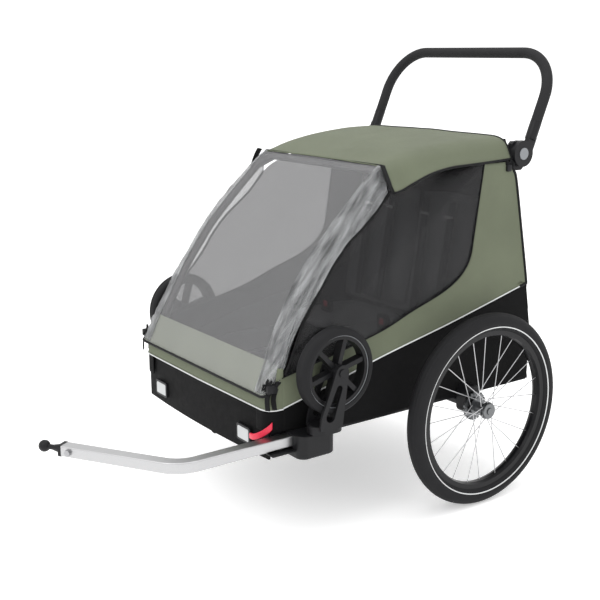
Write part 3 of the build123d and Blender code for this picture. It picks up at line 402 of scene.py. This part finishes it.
def build_finishes(colours):
    sage, black = tuple(colours.sage), tuple(colours.black_cloth)
    finishes.update({
        "sage_fabric": woven_finish("sage_fabric", sage, sheen=0.05, gloss=0.16),
        "sage_under_film": woven_finish("sage_under_film", tuple(c * 1.05 for c in sage), sheen=0.05, gloss=0.3,
                                        roughness=(0.3, 0.45)),
        "black_fabric": woven_finish("black_fabric", black, scale=360, sheen=0.01, roughness=(0.6, 0.8), gloss=0.08),
        "seat_fabric": woven_finish("seat_fabric", (0.24, 0.24, 0.25), scale=260, sheen=0.05, gloss=0.2),
        "webbing": woven_finish("webbing", (0.006, 0.006, 0.0065), scale=700, depth_mm=0.4, sheen=0.03, gloss=0.15),
        "binding": woven_finish("binding", (0.006, 0.006, 0.0065), scale=800, roughness=(0.5, 0.65), sheen=0.02,
                                gloss=0.15),
        "reflective_piping": moulded_finish("reflective_piping", (0.60, 0.61, 0.61), roughness=(0.3, 0.4)),
        "black_plastic": moulded_finish("black_plastic", (0.008, 0.008, 0.009), roughness=(0.34, 0.48), gloss=0.2),
        # grey_plastic also colours the caster rim rings, where its grey is a painted highlight.
        "grey_plastic": moulded_finish("grey_plastic", (0.19, 0.20, 0.21), roughness=(0.35, 0.45)),
        "red_plastic": moulded_finish("red_plastic", tuple(colours.release_red), roughness=(0.3, 0.42)),
        "frame_tube": moulded_finish("frame_tube", (0.009, 0.009, 0.010), roughness=(0.28, 0.38), coat=0.05, gloss=0.3),
        "foam": moulded_finish("foam", (0.014, 0.014, 0.015), roughness=(0.72, 0.86), grain_scale=1500, depth_mm=0.25,
                               gloss=0.25),
        "tyre_rubber": moulded_finish("tyre_rubber", (0.011, 0.011, 0.012), roughness=(0.62, 0.76), grain_scale=500,
                                      depth_mm=0.15, gloss=0.16),
        "rim_black": moulded_finish("rim_black", (0.006, 0.006, 0.007), roughness=(0.25, 0.35), coat=0.05, gloss=0.2),
        "spoke_steel": brushed_finish("spoke_steel", (0.52, 0.52, 0.53), stretch=(80, 80, 80)),
        "hub_metal": brushed_finish("hub_metal", (0.16, 0.165, 0.17), stretch=(60, 300, 60)),
        "steel": brushed_finish("steel", (0.33, 0.33, 0.34), stretch=(90, 90, 90)),
        "aluminium": brushed_finish("aluminium", (0.43, 0.43, 0.435)),
        "reflector_white": film_finish("reflector_white", (0.42, 0.43, 0.43), 1.0, roughness=(0.12, 0.2)),
        "clear_film": film_finish("clear_film", tuple(colours.film), 0.13),
        # The side strips' strong streaked colour is a painted highlight along the film's folds, over a double layer of
        # film.
        "film_strip": film_finish("film_strip", (0.26, 0.265, 0.27), 0.40, roughness=(0.06, 0.14), streaks=(75, 0.7)),
        "dark_window": film_finish("dark_window", (0.014, 0.014, 0.015), 0.66, roughness=(0.35, 0.45), gloss=0.3),
    })


def dress(piece, finish, body):
    """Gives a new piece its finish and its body."""
    piece.data.materials.clear()
    piece.data.materials.append(finishes[finish])
    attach(piece, body)
    return piece


def line_inside(piece):
    """Gives a thickened cloth a black inner face."""
    piece.data.materials.append(finishes["black_fabric"])
    piece.modifiers["thickness"].material_offset = 1


def fold_down(piece):
    """Bakes the modifiers of a soft body cloth piece into a mesh of its own."""
    apply_modifiers(piece)
    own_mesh(piece)
    return piece


# ---------------------------------------------------------------- settings


class TrailerColours(bpy.types.PropertyGroup):
    sage: bpy.props.FloatVectorProperty(name="Sage", description="Body cloth", subtype="COLOR",
                                        default=(0.122, 0.137, 0.092))
    black_cloth: bpy.props.FloatVectorProperty(name="Black cloth", description="Skirts and rear pocket",
                                               subtype="COLOR", default=(0.0035, 0.0035, 0.0038))
    film: bpy.props.FloatVectorProperty(name="Film", description="Veil of the clear front film", subtype="COLOR",
                                        default=(0.55, 0.55, 0.56))
    release_red: bpy.props.FloatVectorProperty(name="Release red", description="Pull loop and buckle buttons",
                                               subtype="COLOR", default=(0.62, 0.012, 0.045))


class TrailerSizes(bpy.types.PropertyGroup):
    cloth: bpy.props.FloatProperty(name="Cloth", description="Body cloth thickness in millimetres", default=1.4)
    piping: bpy.props.FloatProperty(name="Piping", description="Radius of the reflective piping in millimetres",
                                    default=1.7)
    binding: bpy.props.FloatProperty(name="Binding", description="Radius of the sewn black edges in millimetres",
                                     default=3.0)
    wrinkle: bpy.props.FloatProperty(name="Wrinkle", description="Depth of the film's folds in millimetres",
                                     default=3.2)


def sizes():
    return bpy.context.scene.trailer_sizes


# ---------------------------------------------------------------- operators


class TRAILER_OT_stage(bpy.types.Operator):
    """Pale floor, soft studio light and the camera"""

    bl_idname = "trailer.stage"
    bl_label = "Stage"

    def execute(self, context):
        floor_size = 40
        bm = bmesh.new()
        bmesh.ops.create_grid(bm, x_segments=1, y_segments=1, size=floor_size / 2)
        floor = keep_mesh(bm, "floor")
        material, tree, shader, place = new_finish("floor")
        tinted_variation(tree, shader, place, (0.96, 0.96, 0.96), 2, 0.01)
        shader.inputs["Roughness"].default_value = 0.9
        shader.inputs["Specular IOR Level"].default_value = 0.1
        shader.inputs["Emission Color"].default_value = (1, 1, 1, 1)
        shader.inputs["Emission Strength"].default_value = 0.3
        floor.data.materials.append(material)

        world = bpy.data.worlds.new("studio")
        context.scene.world = world
        world.use_nodes = True
        world.node_tree.nodes["Background"].inputs["Color"].default_value = (1, 1, 1, 1)
        world.node_tree.nodes["Background"].inputs["Strength"].default_value = 1.2
        context.scene.view_settings.view_transform = "Standard"

        for name, spot, size, energy in (
            ("key", (2600, 600, 2600), 2.2, 26),
            ("side", (200, 3000, 1900), 1.6, 6),
            ("top", (0, 0, 3200), 2.4, 22),
        ):
            light = bpy.data.lights.new(name, "AREA")
            light.size = size
            light.energy = energy
            lamp = bpy.data.objects.new(name, light)
            lamp.location = at(*spot)
            lamp.rotation_euler = (at(200, 0, 450) - lamp.location).to_track_quat("-Z", "Y").to_euler()
            context.scene.collection.objects.link(lamp)

        camera = bpy.data.objects.new("camera", bpy.data.cameras.new("camera"))
        camera.data.sensor_width = 36
        camera.data.lens = 60.91
        camera.location = at(1780.1, 2064.4, 1119.2)
        yaw, pitch = radians(54.317), radians(13.753)
        view = Vector((-cos(yaw) * cos(pitch), -sin(yaw) * cos(pitch), -sin(pitch)))
        camera.rotation_euler = view.to_track_quat("-Z", "Y").to_euler()
        context.scene.collection.objects.link(camera)
        context.scene.camera = camera
        return {"FINISHED"}


class TRAILER_OT_finishes(bpy.types.Operator):
    """Finishes for every rigid part of the frame"""

    bl_idname = "trailer.finishes"
    bl_label = "Finishes"

    def execute(self, context):
        build_finishes(context.scene.trailer_colours)
        for entry in frame["record"]["subparts"]:
            node = frame["nodes"][entry["node"]]
            finish = finishes[entry["material_slot"]]
            for slot in node.material_slots:
                slot.material = finish
            if not node.material_slots:
                node.data.materials.append(finish)
        return {"FINISHED"}


def roof_point(u, v):
    """The roof's section: a crowned top, round shoulders and side flaps down to the hem."""
    x = ROOF_FRONT + (ROOF_REAR - ROOF_FRONT) * v
    ridge_z = height_at(ROOF_RIDGE, x)
    hem_z = height_at(ROOF_HEM, x)
    shoulder = ROOF_SHOULDER_FRONT + (ROOF_SHOULDER_REAR - ROOF_SHOULDER_FRONT) * v
    side = 1 if u < 0.5 else -1
    s = abs(2 * u - 1)
    crown, corner, hem = Vector((0, ridge_z)), Vector((shoulder, ridge_z - 3)), Vector((ROOF_HEM_HALF, hem_z))
    round_top, round_side = 46, 30
    start = corner + (crown - corner).normalized() * round_top
    end = corner + (hem - corner).normalized() * round_side
    if s < 0.6:
        spot = crown.lerp(start, s / 0.6)
    elif s < 0.85:
        t = (s - 0.6) / 0.25
        spot = start * (1 - t) ** 2 + corner * (2 * t * (1 - t)) + end * t * t
    else:
        spot = end.lerp(hem, (s - 0.85) / 0.15)
    sag = 3.0 * sin(pi * v) * cos(pi * min(s, 0.6) / 1.2) ** 2
    ripple = fabric_ripple(Vector((x, spot.x * side, 0)), 90, 1.2)
    return at(x, side * spot.x, spot.y - sag + ripple)


def height_at(points, x):
    """Height of an outline at x, where the outline runs backwards."""
    share = 0.0
    low, high = 0.0, 1.0
    for _ in range(22):
        share = (low + high) / 2
        if along(points, share).x > x:
            low = share
        else:
            high = share
    return along(points, share).y


class TRAILER_OT_roof(bpy.types.Operator):
    """Roof canopy with its bound hem"""

    bl_idname = "trailer.roof"
    bl_label = "Roof"

    def execute(self, context):
        roof = placed_grid("roof_canopy_cloth", 96, 48, roof_point, (0, 0, 1))
        thicken(roof, sizes().cloth)
        dress(roof, "sage_fabric", "chassis")
        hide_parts("roof_canopy")
        line_inside(roof)
        fold_down(roof)
        for side, s_y, u in (("left", 1, 0.0), ("right", -1, 1.0)):
            hem = [roof_point(u, index / 40) for index in range(41)]
            binding = tube_along(f"roof_hem_{side}", hem, sizes().binding)
            dress(binding, "binding", "chassis")
            fold_down(binding)
            bunch_points = [at(-116, s_y * 303, 852), at(-125, s_y * 307, 844), at(-133, s_y * 304, 851),
                            at(-141, s_y * 308, 842), at(-149, s_y * 304, 849)]
            bunch = strap_along(f"rear_corner_webbing_{side}", bunch_points, 13, 2.2, (0, 0.4 * s_y, 1), (0, s_y, 0))
            dress(bunch, "webbing", "chassis")
            fold_down(bunch)
            clip = rounded_block(f"rear_corner_clip_{side}", at(-134, s_y * 305 - 4, 828),
                                 at(-118, s_y * 305 + 4, 846), 2.5)
            dress(clip, "black_plastic", "chassis")
            fold_down(clip)
        rear = [roof_point(index / 60, 1.0) for index in range(61)]
        rear_binding = tube_along("roof_rear_edge", rear, 2.4)
        dress(rear_binding, "binding", "chassis")
        fold_down(rear_binding)
        return {"FINISHED"}


def side_patch(name, first, second, side, lift=0.0, across=90, down=24, depth=0.8):
    """Cloth stretched over the body's side between two outlines."""

    def place(u, v):
        spot = along(first, u).lerp(along(second, u), v)
        half = body_half(spot.x, spot.y) + lift
        edge = min(u, v, 1 - u, 1 - v)
        ripple = fabric_ripple(Vector((spot.x, side * 300, spot.y)), 80, depth) * min(1.0, edge * 12)
        return at(spot.x, side * (half + ripple), spot.y)

    return placed_grid(name, across, down, place, (0, side, 0))


def side_line(points, side, lift, count=60):
    spots = [along(points, index / count) for index in range(count + 1)]
    return [at(spot.x, side * (body_half(spot.x, spot.y) + lift), spot.y) for spot in spots]


class TRAILER_OT_side_fabric(bpy.types.Operator):
    """Side windows, sage side panels, black skirts and their sewn edges"""

    bl_idname = "trailer.side_fabric"
    bl_label = "Side fabric"

    def execute(self, context):
        for name, side in (("left", 1), ("right", -1)):
            window = side_patch(f"side_window_{name}", WINDOW_LOW, WINDOW_TOP, side, lift=-1.2, depth=1.4)
            thicken(window, 0.5)
            dress(window, "dark_window", "chassis")
            fold_down(window)

            panel = side_patch(f"side_panel_{name}", WINDOW_LOW, PANEL_REAR, side)
            thicken(panel, sizes().cloth)
            dress(panel, "sage_fabric", "chassis")
            line_inside(panel)
            fold_down(panel)

            skirt = side_patch(f"side_skirt_{name}", SKIRT_TOP, SKIRT_LOW, side)
            thicken(skirt, sizes().cloth)
            dress(skirt, "black_fabric", "chassis")
            fold_down(skirt)
            if side == 1:
                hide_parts("side_windows")
                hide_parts("side_panels")
                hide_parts("side_skirts")

            piping = tube_along(f"reflective_piping_{name}", side_line(SKIRT_TOP[1:], side, 1.0), sizes().piping)
            dress(piping, "reflective_piping", "chassis")
            fold_down(piping)
            seam = tube_along(f"window_seam_{name}", side_line(WINDOW_LOW, side, 0.2), 1.2)
            dress(seam, "binding", "chassis")
            fold_down(seam)
            rear_edge = tube_along(f"rear_edge_{name}", side_line(PANEL_REAR[:7], side, -1.0), sizes().binding + 1.2)
            dress(rear_edge, "binding", "chassis")
            fold_down(rear_edge)
            pillar = tube_along(f"pillar_edge_{name}", side_line(WINDOW_TOP[5:], side, 0.6), sizes().binding)
            dress(pillar, "binding", "chassis")
            fold_down(pillar)
        return {"FINISHED"}


class TRAILER_OT_rear_fabric(bpy.types.Operator):
    """Rear panel with its storage pocket"""

    bl_idname = "trailer.rear_fabric"
    bl_label = "Rear fabric"

    def execute(self, context):
        def rear_point(u, v, proud=0.0):
            spot = along(REAR_CURVE, v)
            half = 299 - 34 * smooth_step(850, 910, spot.y)
            y = half * (1 - 2 * u)
            corner = max(0.0, abs(y) / 299 - 0.93) / 0.07
            bulge = 5 * sin(pi * v) * (1 - (y / 299) ** 2) + proud
            ripple = fabric_ripple(Vector((0, y, spot.y)), 110, 1.6) * (1 - corner)
            return at(spot.x - bulge + 8 * corner ** 2 - ripple, y, spot.y)

        lower_share = 0.43

        def lower(u, v):
            return rear_point(u, v * lower_share)

        def upper(u, v):
            return rear_point(u, lower_share + v * (1 - lower_share))

        black = placed_grid("rear_panel_lower", 60, 24, lower, (-1, 0, 0))
        thicken(black, sizes().cloth)
        dress(black, "black_fabric", "chassis")
        fold_down(black)
        sage = placed_grid("rear_panel_upper", 60, 32, upper, (-1, 0, 0))
        thicken(sage, sizes().cloth)
        dress(sage, "sage_fabric", "chassis")
        line_inside(sage)
        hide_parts("rear_panel")
        fold_down(sage)

        def pocket(u, v):
            return rear_point(0.14 + 0.72 * u, 0.30 + 0.32 * v, proud=4 + 13 * (sin(pi * u) * sin(pi * v)) ** 0.5)

        bag = placed_grid("rear_pocket", 48, 28, pocket, (-1, 0, 0))
        thicken(bag, 1.6)
        dress(bag, "black_fabric", "chassis")
        fold_down(bag)
        zip_line = [rear_point(0.15 + 0.7 * i / 40, 0.60, proud=8 + 10 * sin(pi * i / 40) ** 0.5) for i in range(41)]
        zip_piece = tube_along("rear_pocket_zip", zip_line, 2.2)
        dress(zip_piece, "binding", "chassis")
        fold_down(zip_piece)
        seam = tube_along("rear_seam", [rear_point(i / 60, lower_share, proud=1) for i in range(61)], sizes().piping)
        dress(seam, "reflective_piping", "chassis")
        fold_down(seam)
        return {"FINISHED"}


def nose_point(u, z, front_x, half=296):
    """Plan path round the nose: from the left side, round the corner, across the front, to the right side."""
    side = 1 if u < 0.5 else -1
    s = abs(2 * u - 1)
    corner = Vector((front_x - 4, half))
    back = Vector((SIDE_FRONT_X, body_half(SIDE_FRONT_X, z)))
    middle = Vector((front_x, 0))
    front_start = corner + (middle - corner).normalized() * CORNER_RADIUS
    side_start = corner + (back - corner).normalized() * min(CORNER_RADIUS, (back - corner).length * 0.9)
    if s < 0.7:
        spot = middle.lerp(front_start, s / 0.7)
    elif s < 0.93:
        t = (s - 0.7) / 0.23
        spot = front_start * (1 - t) ** 2 + corner * (2 * t * (1 - t)) + side_start * t * t
    else:
        spot = side_start.lerp(back, (s - 0.93) / 0.07)
    return at(spot.x, side * spot.y, z)


class TRAILER_OT_nose(bpy.types.Operator):
    """Sage front band, reflective piping and the black corners below it"""

    bl_idname = "trailer.nose"
    bl_label = "Nose"

    def execute(self, context):
        def band_point(u, v):
            spot = along(BAND_CURVE, v)
            point = nose_point(u, spot.y, spot.x)
            point.x += fabric_ripple(Vector((0, point.y * 1000, spot.y)), 90, 1.0) / 1000
            return point

        band = placed_grid("front_band_cloth", 120, 20, band_point, (1, 0, 0))
        thicken(band, sizes().cloth)
        dress(band, "sage_fabric", "chassis")
        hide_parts("front_band")
        fold_down(band)

        piping = tube_along("reflective_piping_front", [nose_point(i / 90, 341, 602) for i in range(91)],
                            sizes().piping)
        dress(piping, "reflective_piping", "chassis")

        for name, first, last in (("left", 0.0, 0.17), ("right", 0.83, 1.0)):
            def corner_point(u, v):
                return nose_point(first + (last - first) * u, 290 + 51 * v, 600)

            corner = placed_grid(f"nose_corner_{name}", 30, 6, corner_point, (1, 0, 0))
            thicken(corner, 2.0)
            dress(corner, "black_fabric", "chassis")
        return {"FINISHED"}


def film_point(u, v, lift=0.0, wrinkles=True):
    """The front film: a bowed face, rounded over at its sides on to a gusset that reaches back to the windows."""
    ridge, edge = along(FILM_RIDGE, v), along(FILM_EDGE, v)
    ridge_half, edge_half = width_at(FILM_RIDGE_HALF, v), width_at(FILM_EDGE_HALF, v)
    side = 1 if u < 0.5 else -1
    s = abs(2 * u - 1)
    outward, depth = Vector((0.77, 0, 0.64)), edge - ridge
    start = Vector((ridge.x, ridge_half - FILM_TURN, ridge.y))
    corner = Vector((ridge.x, ridge_half, ridge.y))
    down = min(1.0, FILM_TURN_DEPTH / max(depth.length, 1.0))
    below_half = ridge_half + (edge_half - ridge_half) * down
    below = Vector((ridge.x + depth.x * down, below_half, ridge.y + depth.y * down))
    if s < FILM_FLAT_END:
        spot = start.copy()
        spot.y *= s / FILM_FLAT_END
    elif s < FILM_TURN_END:
        t = (s - FILM_FLAT_END) / (FILM_TURN_END - FILM_FLAT_END)
        spot = start * (1 - t) ** 2 + corner * (2 * t * (1 - t)) + below * t * t
    else:
        share = (s - FILM_TURN_END) / (1 - FILM_TURN_END)
        spot = below.lerp(Vector((edge.x, edge_half, edge.y)), share)
        outward = Vector((0.2, side, 0.15)).normalized()
    bulge = 5 * sin(pi * min(v / 0.88, 1.0)) * max(0.0, 1 - (s / FILM_FLAT_END) ** 2)
    folds = 0.0
    if wrinkles:
        near_edge = smooth_step(0.70, 0.82, s) * (1 - smooth_step(0.985, 1.0, s))
        fan = smooth_step(0.5, 0.8, s) * (1 - smooth_step(0.08, 0.24, v)) * smooth_step(0.0, 0.03, v)
        long_folds = noise.noise(Vector((s * 42, v * 5, side * 5)))
        cross_folds = noise.noise(Vector((s * 16 + v * 30, v * 24, side * 9)))
        gather = smooth_step(0.84, 0.95, v) * smooth_step(0.72, 0.9, s)
        folds = sizes().wrinkle * near_edge * (long_folds + 0.6 * cross_folds)
        folds += sizes().wrinkle * 1.3 * fan * noise.noise(Vector((s * 30, v * 2, 4 + side)))
        folds += 9 * gather * noise.noise(Vector((s * 30, v * 34, side * 3)))
        folds += 0.8 * noise.noise(Vector((s * 5, v * 6, 2)))
    return at(spot.x, side * spot.y, spot.z) + outward * (bulge + folds + lift) / 1000


class TRAILER_OT_front_cover(bpy.types.Operator):
    """Clear front film with its wrinkled side strips, hem and straps"""

    bl_idname = "trailer.front_cover"
    bl_label = "Front cover"

    def execute(self, context):
        film = placed_grid("cover_film", 180, 130, film_point, (1, 0, 1))
        thicken(film, 0.5)
        dress(film, "clear_film", "front_cover")
        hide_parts("cover_window")
        for name, side in (("left", 1), ("right", -1)):
            def strip_point(u, v):
                inner = 0.797 - 0.073 * v
                s = 0.996 + (inner - 0.996) * u
                return film_point((1 - side * s) / 2, 0.006 + v * 0.98, lift=1.0)

            # The strips' streaked colour paints highlights along the folds.
            strip = placed_grid(f"cover_edge_{name}", 44, 150, strip_point, (1, 0, 1))
            thicken(strip, 0.4)
            dress(strip, "film_strip", "front_cover")
        def band_point(u, v):
            return film_point(0.03 + 0.94 * u, 0.868 + 0.13 * v, lift=-1.6, wrinkles=False)

        band = placed_grid("cover_band_cloth", 120, 18, band_point, (1, 0, 1))
        thicken(band, sizes().cloth)
        dress(band, "sage_under_film", "front_cover")
        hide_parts("cover_band")
        hem_line = [film_point(i / 120, 1.0, lift=0.5) for i in range(121)]
        hem = tube_along("cover_hem", hem_line, 3.2)
        dress(hem, "binding", "front_cover")
        top_line = [film_point(i / 80, 0.0, lift=0.5, wrinkles=False) for i in range(81)]
        top = tube_along("cover_top_edge", top_line, 1.6)
        dress(top, "binding", "front_cover")
        for name, side in (("left", 1), ("right", -1)):
            edge = [film_point(0.0 if side == 1 else 1.0, i / 60, lift=0.3) for i in range(61)]
            piece = tube_along(f"cover_side_edge_{name}", edge, 1.5)
            dress(piece, "binding", "front_cover")
            strap_points = [at(247, side * 258, 864), at(249, side * 270, 848), at(249, side * 287, 822),
                            at(246, side * 299, 801)]
            strap = strap_along(f"roof_corner_strap_{name}", strap_points, 15, 1.6, (1, 0, 0.25), (0.3, side, 0.3))
            dress(strap, "webbing", "front_hoop")
            for label, back in (("front", 0), ("rear", 17)):
                hook_points = [at(592 - back, side * (292 + back * 0.15), 392), at(600 - back, side * 296, 372),
                               at(600 - back, side * (298 + back * 0.12), 346)]
                hook = strap_along(f"cover_hook_strap_{name}_{label}", hook_points, 11, 2.4, (0.6, -side * 0.8, 0),
                                   (0.8, side, 0))
                dress(hook, "webbing", "front_cover")
            buckle = rounded_block(f"cover_hook_buckle_{name}", at(574, side * 297 - 5, 384),
                                   at(600, side * 297 + 5, 402), 2.5)
            dress(buckle, "black_plastic", "front_cover")
            gather_line = [film_point((1 - side * (0.82 + 0.17 * i / 30)) / 2, 0.955 + 0.02 * sin(i * 1.3),
                                      lift=5 + 3 * sin(i * 2.1)) for i in range(31)]
            gather_cord = tube_along(f"gathered_elastic_{name}", gather_line, 3.0)
            dress(gather_cord, "binding", "front_cover")
        return {"FINISHED"}


def pad_point(u, v, origin, right, up, outward, width, height, plump, pillow):
    """One face of a stuffed pad: crowned, with corners drawn in."""
    su, sv = 2 * u - 1, 2 * v - 1
    pull = 1 - pillow * (su * su * sv * sv)
    crown = ((1 - su ** 4) * (1 - sv ** 4)) ** 0.5
    return origin + right * (width / 2 * su * pull) + up * (height / 2 * sv * pull) + outward * (plump * crown)


def stuffed_pad(name, origin, right, up, outward, width, height, thickness):
    """A closed pad with a crowned front and a flatter back."""
    front = placed_grid(name, 28, 28, lambda u, v: pad_point(u, v, origin, right, up, outward, width, height,
                                                             thickness * 0.75, 0.05), outward)
    bm = bmesh.new()
    bm.from_mesh(front.data)
    edges = [edge for edge in bm.edges if edge.is_boundary]
    rim = bmesh.ops.extrude_edge_only(bm, edges=edges)["geom"]
    rim_verts = [item for item in rim if isinstance(item, bmesh.types.BMVert)]
    bmesh.ops.translate(bm, verts=rim_verts, vec=-outward * thickness * 0.25)
    rim_edges = [item for item in rim if isinstance(item, bmesh.types.BMEdge)]
    bmesh.ops.holes_fill(bm, edges=rim_edges, sides=0)
    bmesh.ops.recalc_face_normals(bm, faces=bm.faces)
    mesh = front.data
    bm.to_mesh(mesh)
    bm.free()
    mesh.shade_smooth()
    return front


class TRAILER_OT_seat(bpy.types.Operator):
    """Seat back panel, seats, backrests, harness straps and their reflective tabs"""

    bl_idname = "trailer.seat"
    bl_label = "Seat"

    def execute(self, context):
        back_up = (at(-108, 0, 760) - at(-55, 0, 416)).normalized()
        back_out = Vector((back_up.z, 0, -back_up.x))
        across = Vector((0, 1, 0))
        soft_pieces = []

        def back_panel(u, v):
            height = 412 + 288 * v
            sag = 6 * sin(pi * u) * sin(pi * v)
            return at(-72 - 0.154 * (height - 412) - sag, 284 * (1 - 2 * u), height)

        panel = placed_grid("seat_back_panel", 60, 30, back_panel, (1, 0, 0))
        thicken(panel, 1.6)
        dress(panel, "seat_fabric", "chassis")
        fold_down(panel)
        for name, y in (("left", 118), ("right", -118)):
            back = stuffed_pad(f"backrest_{name}", at(-92, y, 590), across, back_up, back_out, 0.228, 0.335, 0.026)
            seat = stuffed_pad(f"seat_{name}", at(62, y, 398), across, Vector((1, 0, 0)), Vector((0, 0, 1)), 0.228,
                               0.25, 0.024)
            for pad in (back, seat):
                dress(pad, "seat_fabric", "chassis")
                fold_down(pad)
            soft_pieces += [back, seat]
            for offset in (-45, 45):
                points = [at(-47 - 0.154 * h, y + offset * (1 + 0.12 * h / 300), 436 + h) + back_out * 0.022
                          for h in (0, 60, 120, 180, 240, 300)]
                strap = strap_along(f"shoulder_strap_{name}_{'in' if offset < 0 else 'out'}", points, 26, 2.0,
                                    (0, 1, 0), back_out)
                dress(strap, "webbing", "chassis")
                fold_down(strap)
                soft_pieces.append(strap)
                tab = rounded_block(f"strap_tab_{name}_{'in' if offset < 0 else 'out'}",
                                    at(-63, y + offset - 15, 697), at(-57, y + offset + 15, 704), 1.0)
                dress(tab, "reflective_piping", "chassis")
                fold_down(tab)
        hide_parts("backrest")
        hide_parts("seat_base")
        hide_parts("harness_straps")
        return {"FINISHED"}


class TRAILER_OT_tyres(bpy.types.Operator):
    """Tyres with a shallow tread and the reflective ring on their side walls"""

    bl_idname = "trailer.tyres"
    bl_label = "Tyres"

    def execute(self, context):
        section, seat_radius = TYRE_SECTION, TYRE_SEAT_RADIUS
        centre_radius = WHEEL_RADIUS_MM - section
        first = radians(180 + TYRE_EDGE_DEGREES)
        last = radians(-TYRE_EDGE_DEGREES)
        for name, side in (("left", 1), ("right", -1)):
            centre = Vector((AXLE.x, side * AXLE.y, AXLE.z))
            outer = []
            count = 60
            for index in range(count + 1):
                angle = first + (last - first) * index / count
                across = section * cos(angle)
                groove = 0.9 if abs(abs(across) - 6) < 0.9 or abs(abs(across) - 12.5) < 0.7 else 0.0
                groove = groove if sin(angle) > 0 else 0.0
                outer.append((centre_radius + (section - groove) * sin(angle), (section - groove) * cos(angle)))
            inner = [(seat_radius + 0.4, 10.0), (seat_radius + 0.4, -10.0)]
            tyre = spun(f"tyre_rubber_{name}", outer + inner, centre)
            dress(tyre, "tyre_rubber", f"wheel_{name}")
            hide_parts(f"tyre_{name}")
            for face in (1, -1):
                angle_low, angle_high = radians(-25), radians(-18)
                ring = []
                for angle, reach in ((angle_low, 0.05), (angle_high, 0.05), (angle_high, 0.45), (angle_low, 0.45)):
                    ring.append((centre_radius + (section + reach) * sin(angle), face * (section + reach) * cos(angle)))
                label = "outer" if face == side else "inner"
                band = spun(f"reflective_ring_{name}_{label}", ring, centre)
                dress(band, "reflective_piping", f"wheel_{name}")
        return {"FINISHED"}


class TRAILER_OT_small_parts(bpy.types.Operator):
    """Pull lever and guard plate of the tow arm, and thin grey rings on the caster rims that paint their highlight"""

    bl_idname = "trailer.small_parts"
    bl_label = "Small parts"

    def execute(self, context):
        bm = bmesh.new()
        bmesh.ops.create_cube(bm, size=1)
        bmesh.ops.subdivide_edges(bm, edges=[e for e in bm.edges if abs((e.verts[0].co - e.verts[1].co).y) > 0.5],
                                  cuts=14)
        lever_path = [(612, 243, 275), (613, 258, 277), (608, 274, 285), (597, 286, 296), (583, 292, 306)]
        for vert in bm.verts:
            share = vert.co.y + 0.5
            x = along([(p[0], p[1]) for p in lever_path], share)
            z = along([(p[1], p[2]) for p in lever_path], share).y
            height = 13 + 5 * share
            thickness = 7 - 2 * abs(2 * share - 1)
            vert.co = at(x.x + vert.co.x * thickness, x.y + vert.co.x * thickness * share, z + vert.co.z * height)
        bmesh.ops.recalc_face_normals(bm, faces=bm.faces)
        lever = keep_mesh(bm, "tow_release_lever")
        rounding = lever.modifiers.new("rounding", "BEVEL")
        rounding.width = 0.0022
        rounding.segments = 3
        dress(lever, "red_plastic", "tow_release")
        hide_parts("tow_release")
        low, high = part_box("socket_block_left")
        plate = rounded_block("tow_arm_guard", Vector((high.x, low.y - 0.020, low.z + 0.017)),
                              Vector((high.x + 0.062, high.y - 0.020, low.z + 0.021)), 1.6)
        dress(plate, "black_plastic", "chassis")
        for name in ("left", "right"):
            middle = box_middle(f"caster_wheel_{name}")
            for label, face in (("outer", 1), ("inner", -1)):
                near, far = face * CASTER_GLINT_NEAR, face * CASTER_GLINT_FAR
                profile = [(CASTER_GLINT_INNER, near), (CASTER_GLINT_OUTER, near), (CASTER_GLINT_OUTER, far),
                           (CASTER_GLINT_INNER, far)]
                # A grey ring as a painted highlight along the caster rim's edge.
                glint_ring = spun(f"caster_rim_glint_{name}_{label}", profile, middle, 96)
                dress(glint_ring, "grey_plastic", f"caster_wheel_{name}")
        return {"FINISHED"}


steps = (
    TRAILER_OT_stage, TRAILER_OT_finishes, TRAILER_OT_roof, TRAILER_OT_side_fabric, TRAILER_OT_rear_fabric,
    TRAILER_OT_nose, TRAILER_OT_front_cover, TRAILER_OT_seat, TRAILER_OT_tyres, TRAILER_OT_small_parts,
)


class TRAILER_PT_panel(bpy.types.Panel):
    """Lists the trailer's steps"""

    bl_idname = "TRAILER_PT_panel"
    bl_label = "Child bicycle trailer"
    bl_space_type = "VIEW_3D"
    bl_region_type = "UI"
    bl_category = "Trailer"

    def draw(self, context):
        for step in steps:
            self.layout.operator(step.bl_idname)
        for group in (context.scene.trailer_colours, context.scene.trailer_sizes):
            for key in group.__annotations__:
                self.layout.prop(group, key)


classes = (TrailerColours, TrailerSizes, *steps, TRAILER_PT_panel)


def register():
    for cls in classes:
        bpy.utils.register_class(cls)
    bpy.types.Scene.trailer_colours = bpy.props.PointerProperty(type=TrailerColours)
    bpy.types.Scene.trailer_sizes = bpy.props.PointerProperty(type=TrailerSizes)


def unregister():
    del bpy.types.Scene.trailer_sizes
    del bpy.types.Scene.trailer_colours
    for cls in reversed(classes):
        bpy.utils.unregister_class(cls)


def main():
    register()
    for step in steps:
        group, action = step.bl_idname.split(".")
        getattr(getattr(bpy.ops, group), action)()


if __name__ == "__main__":
    main()
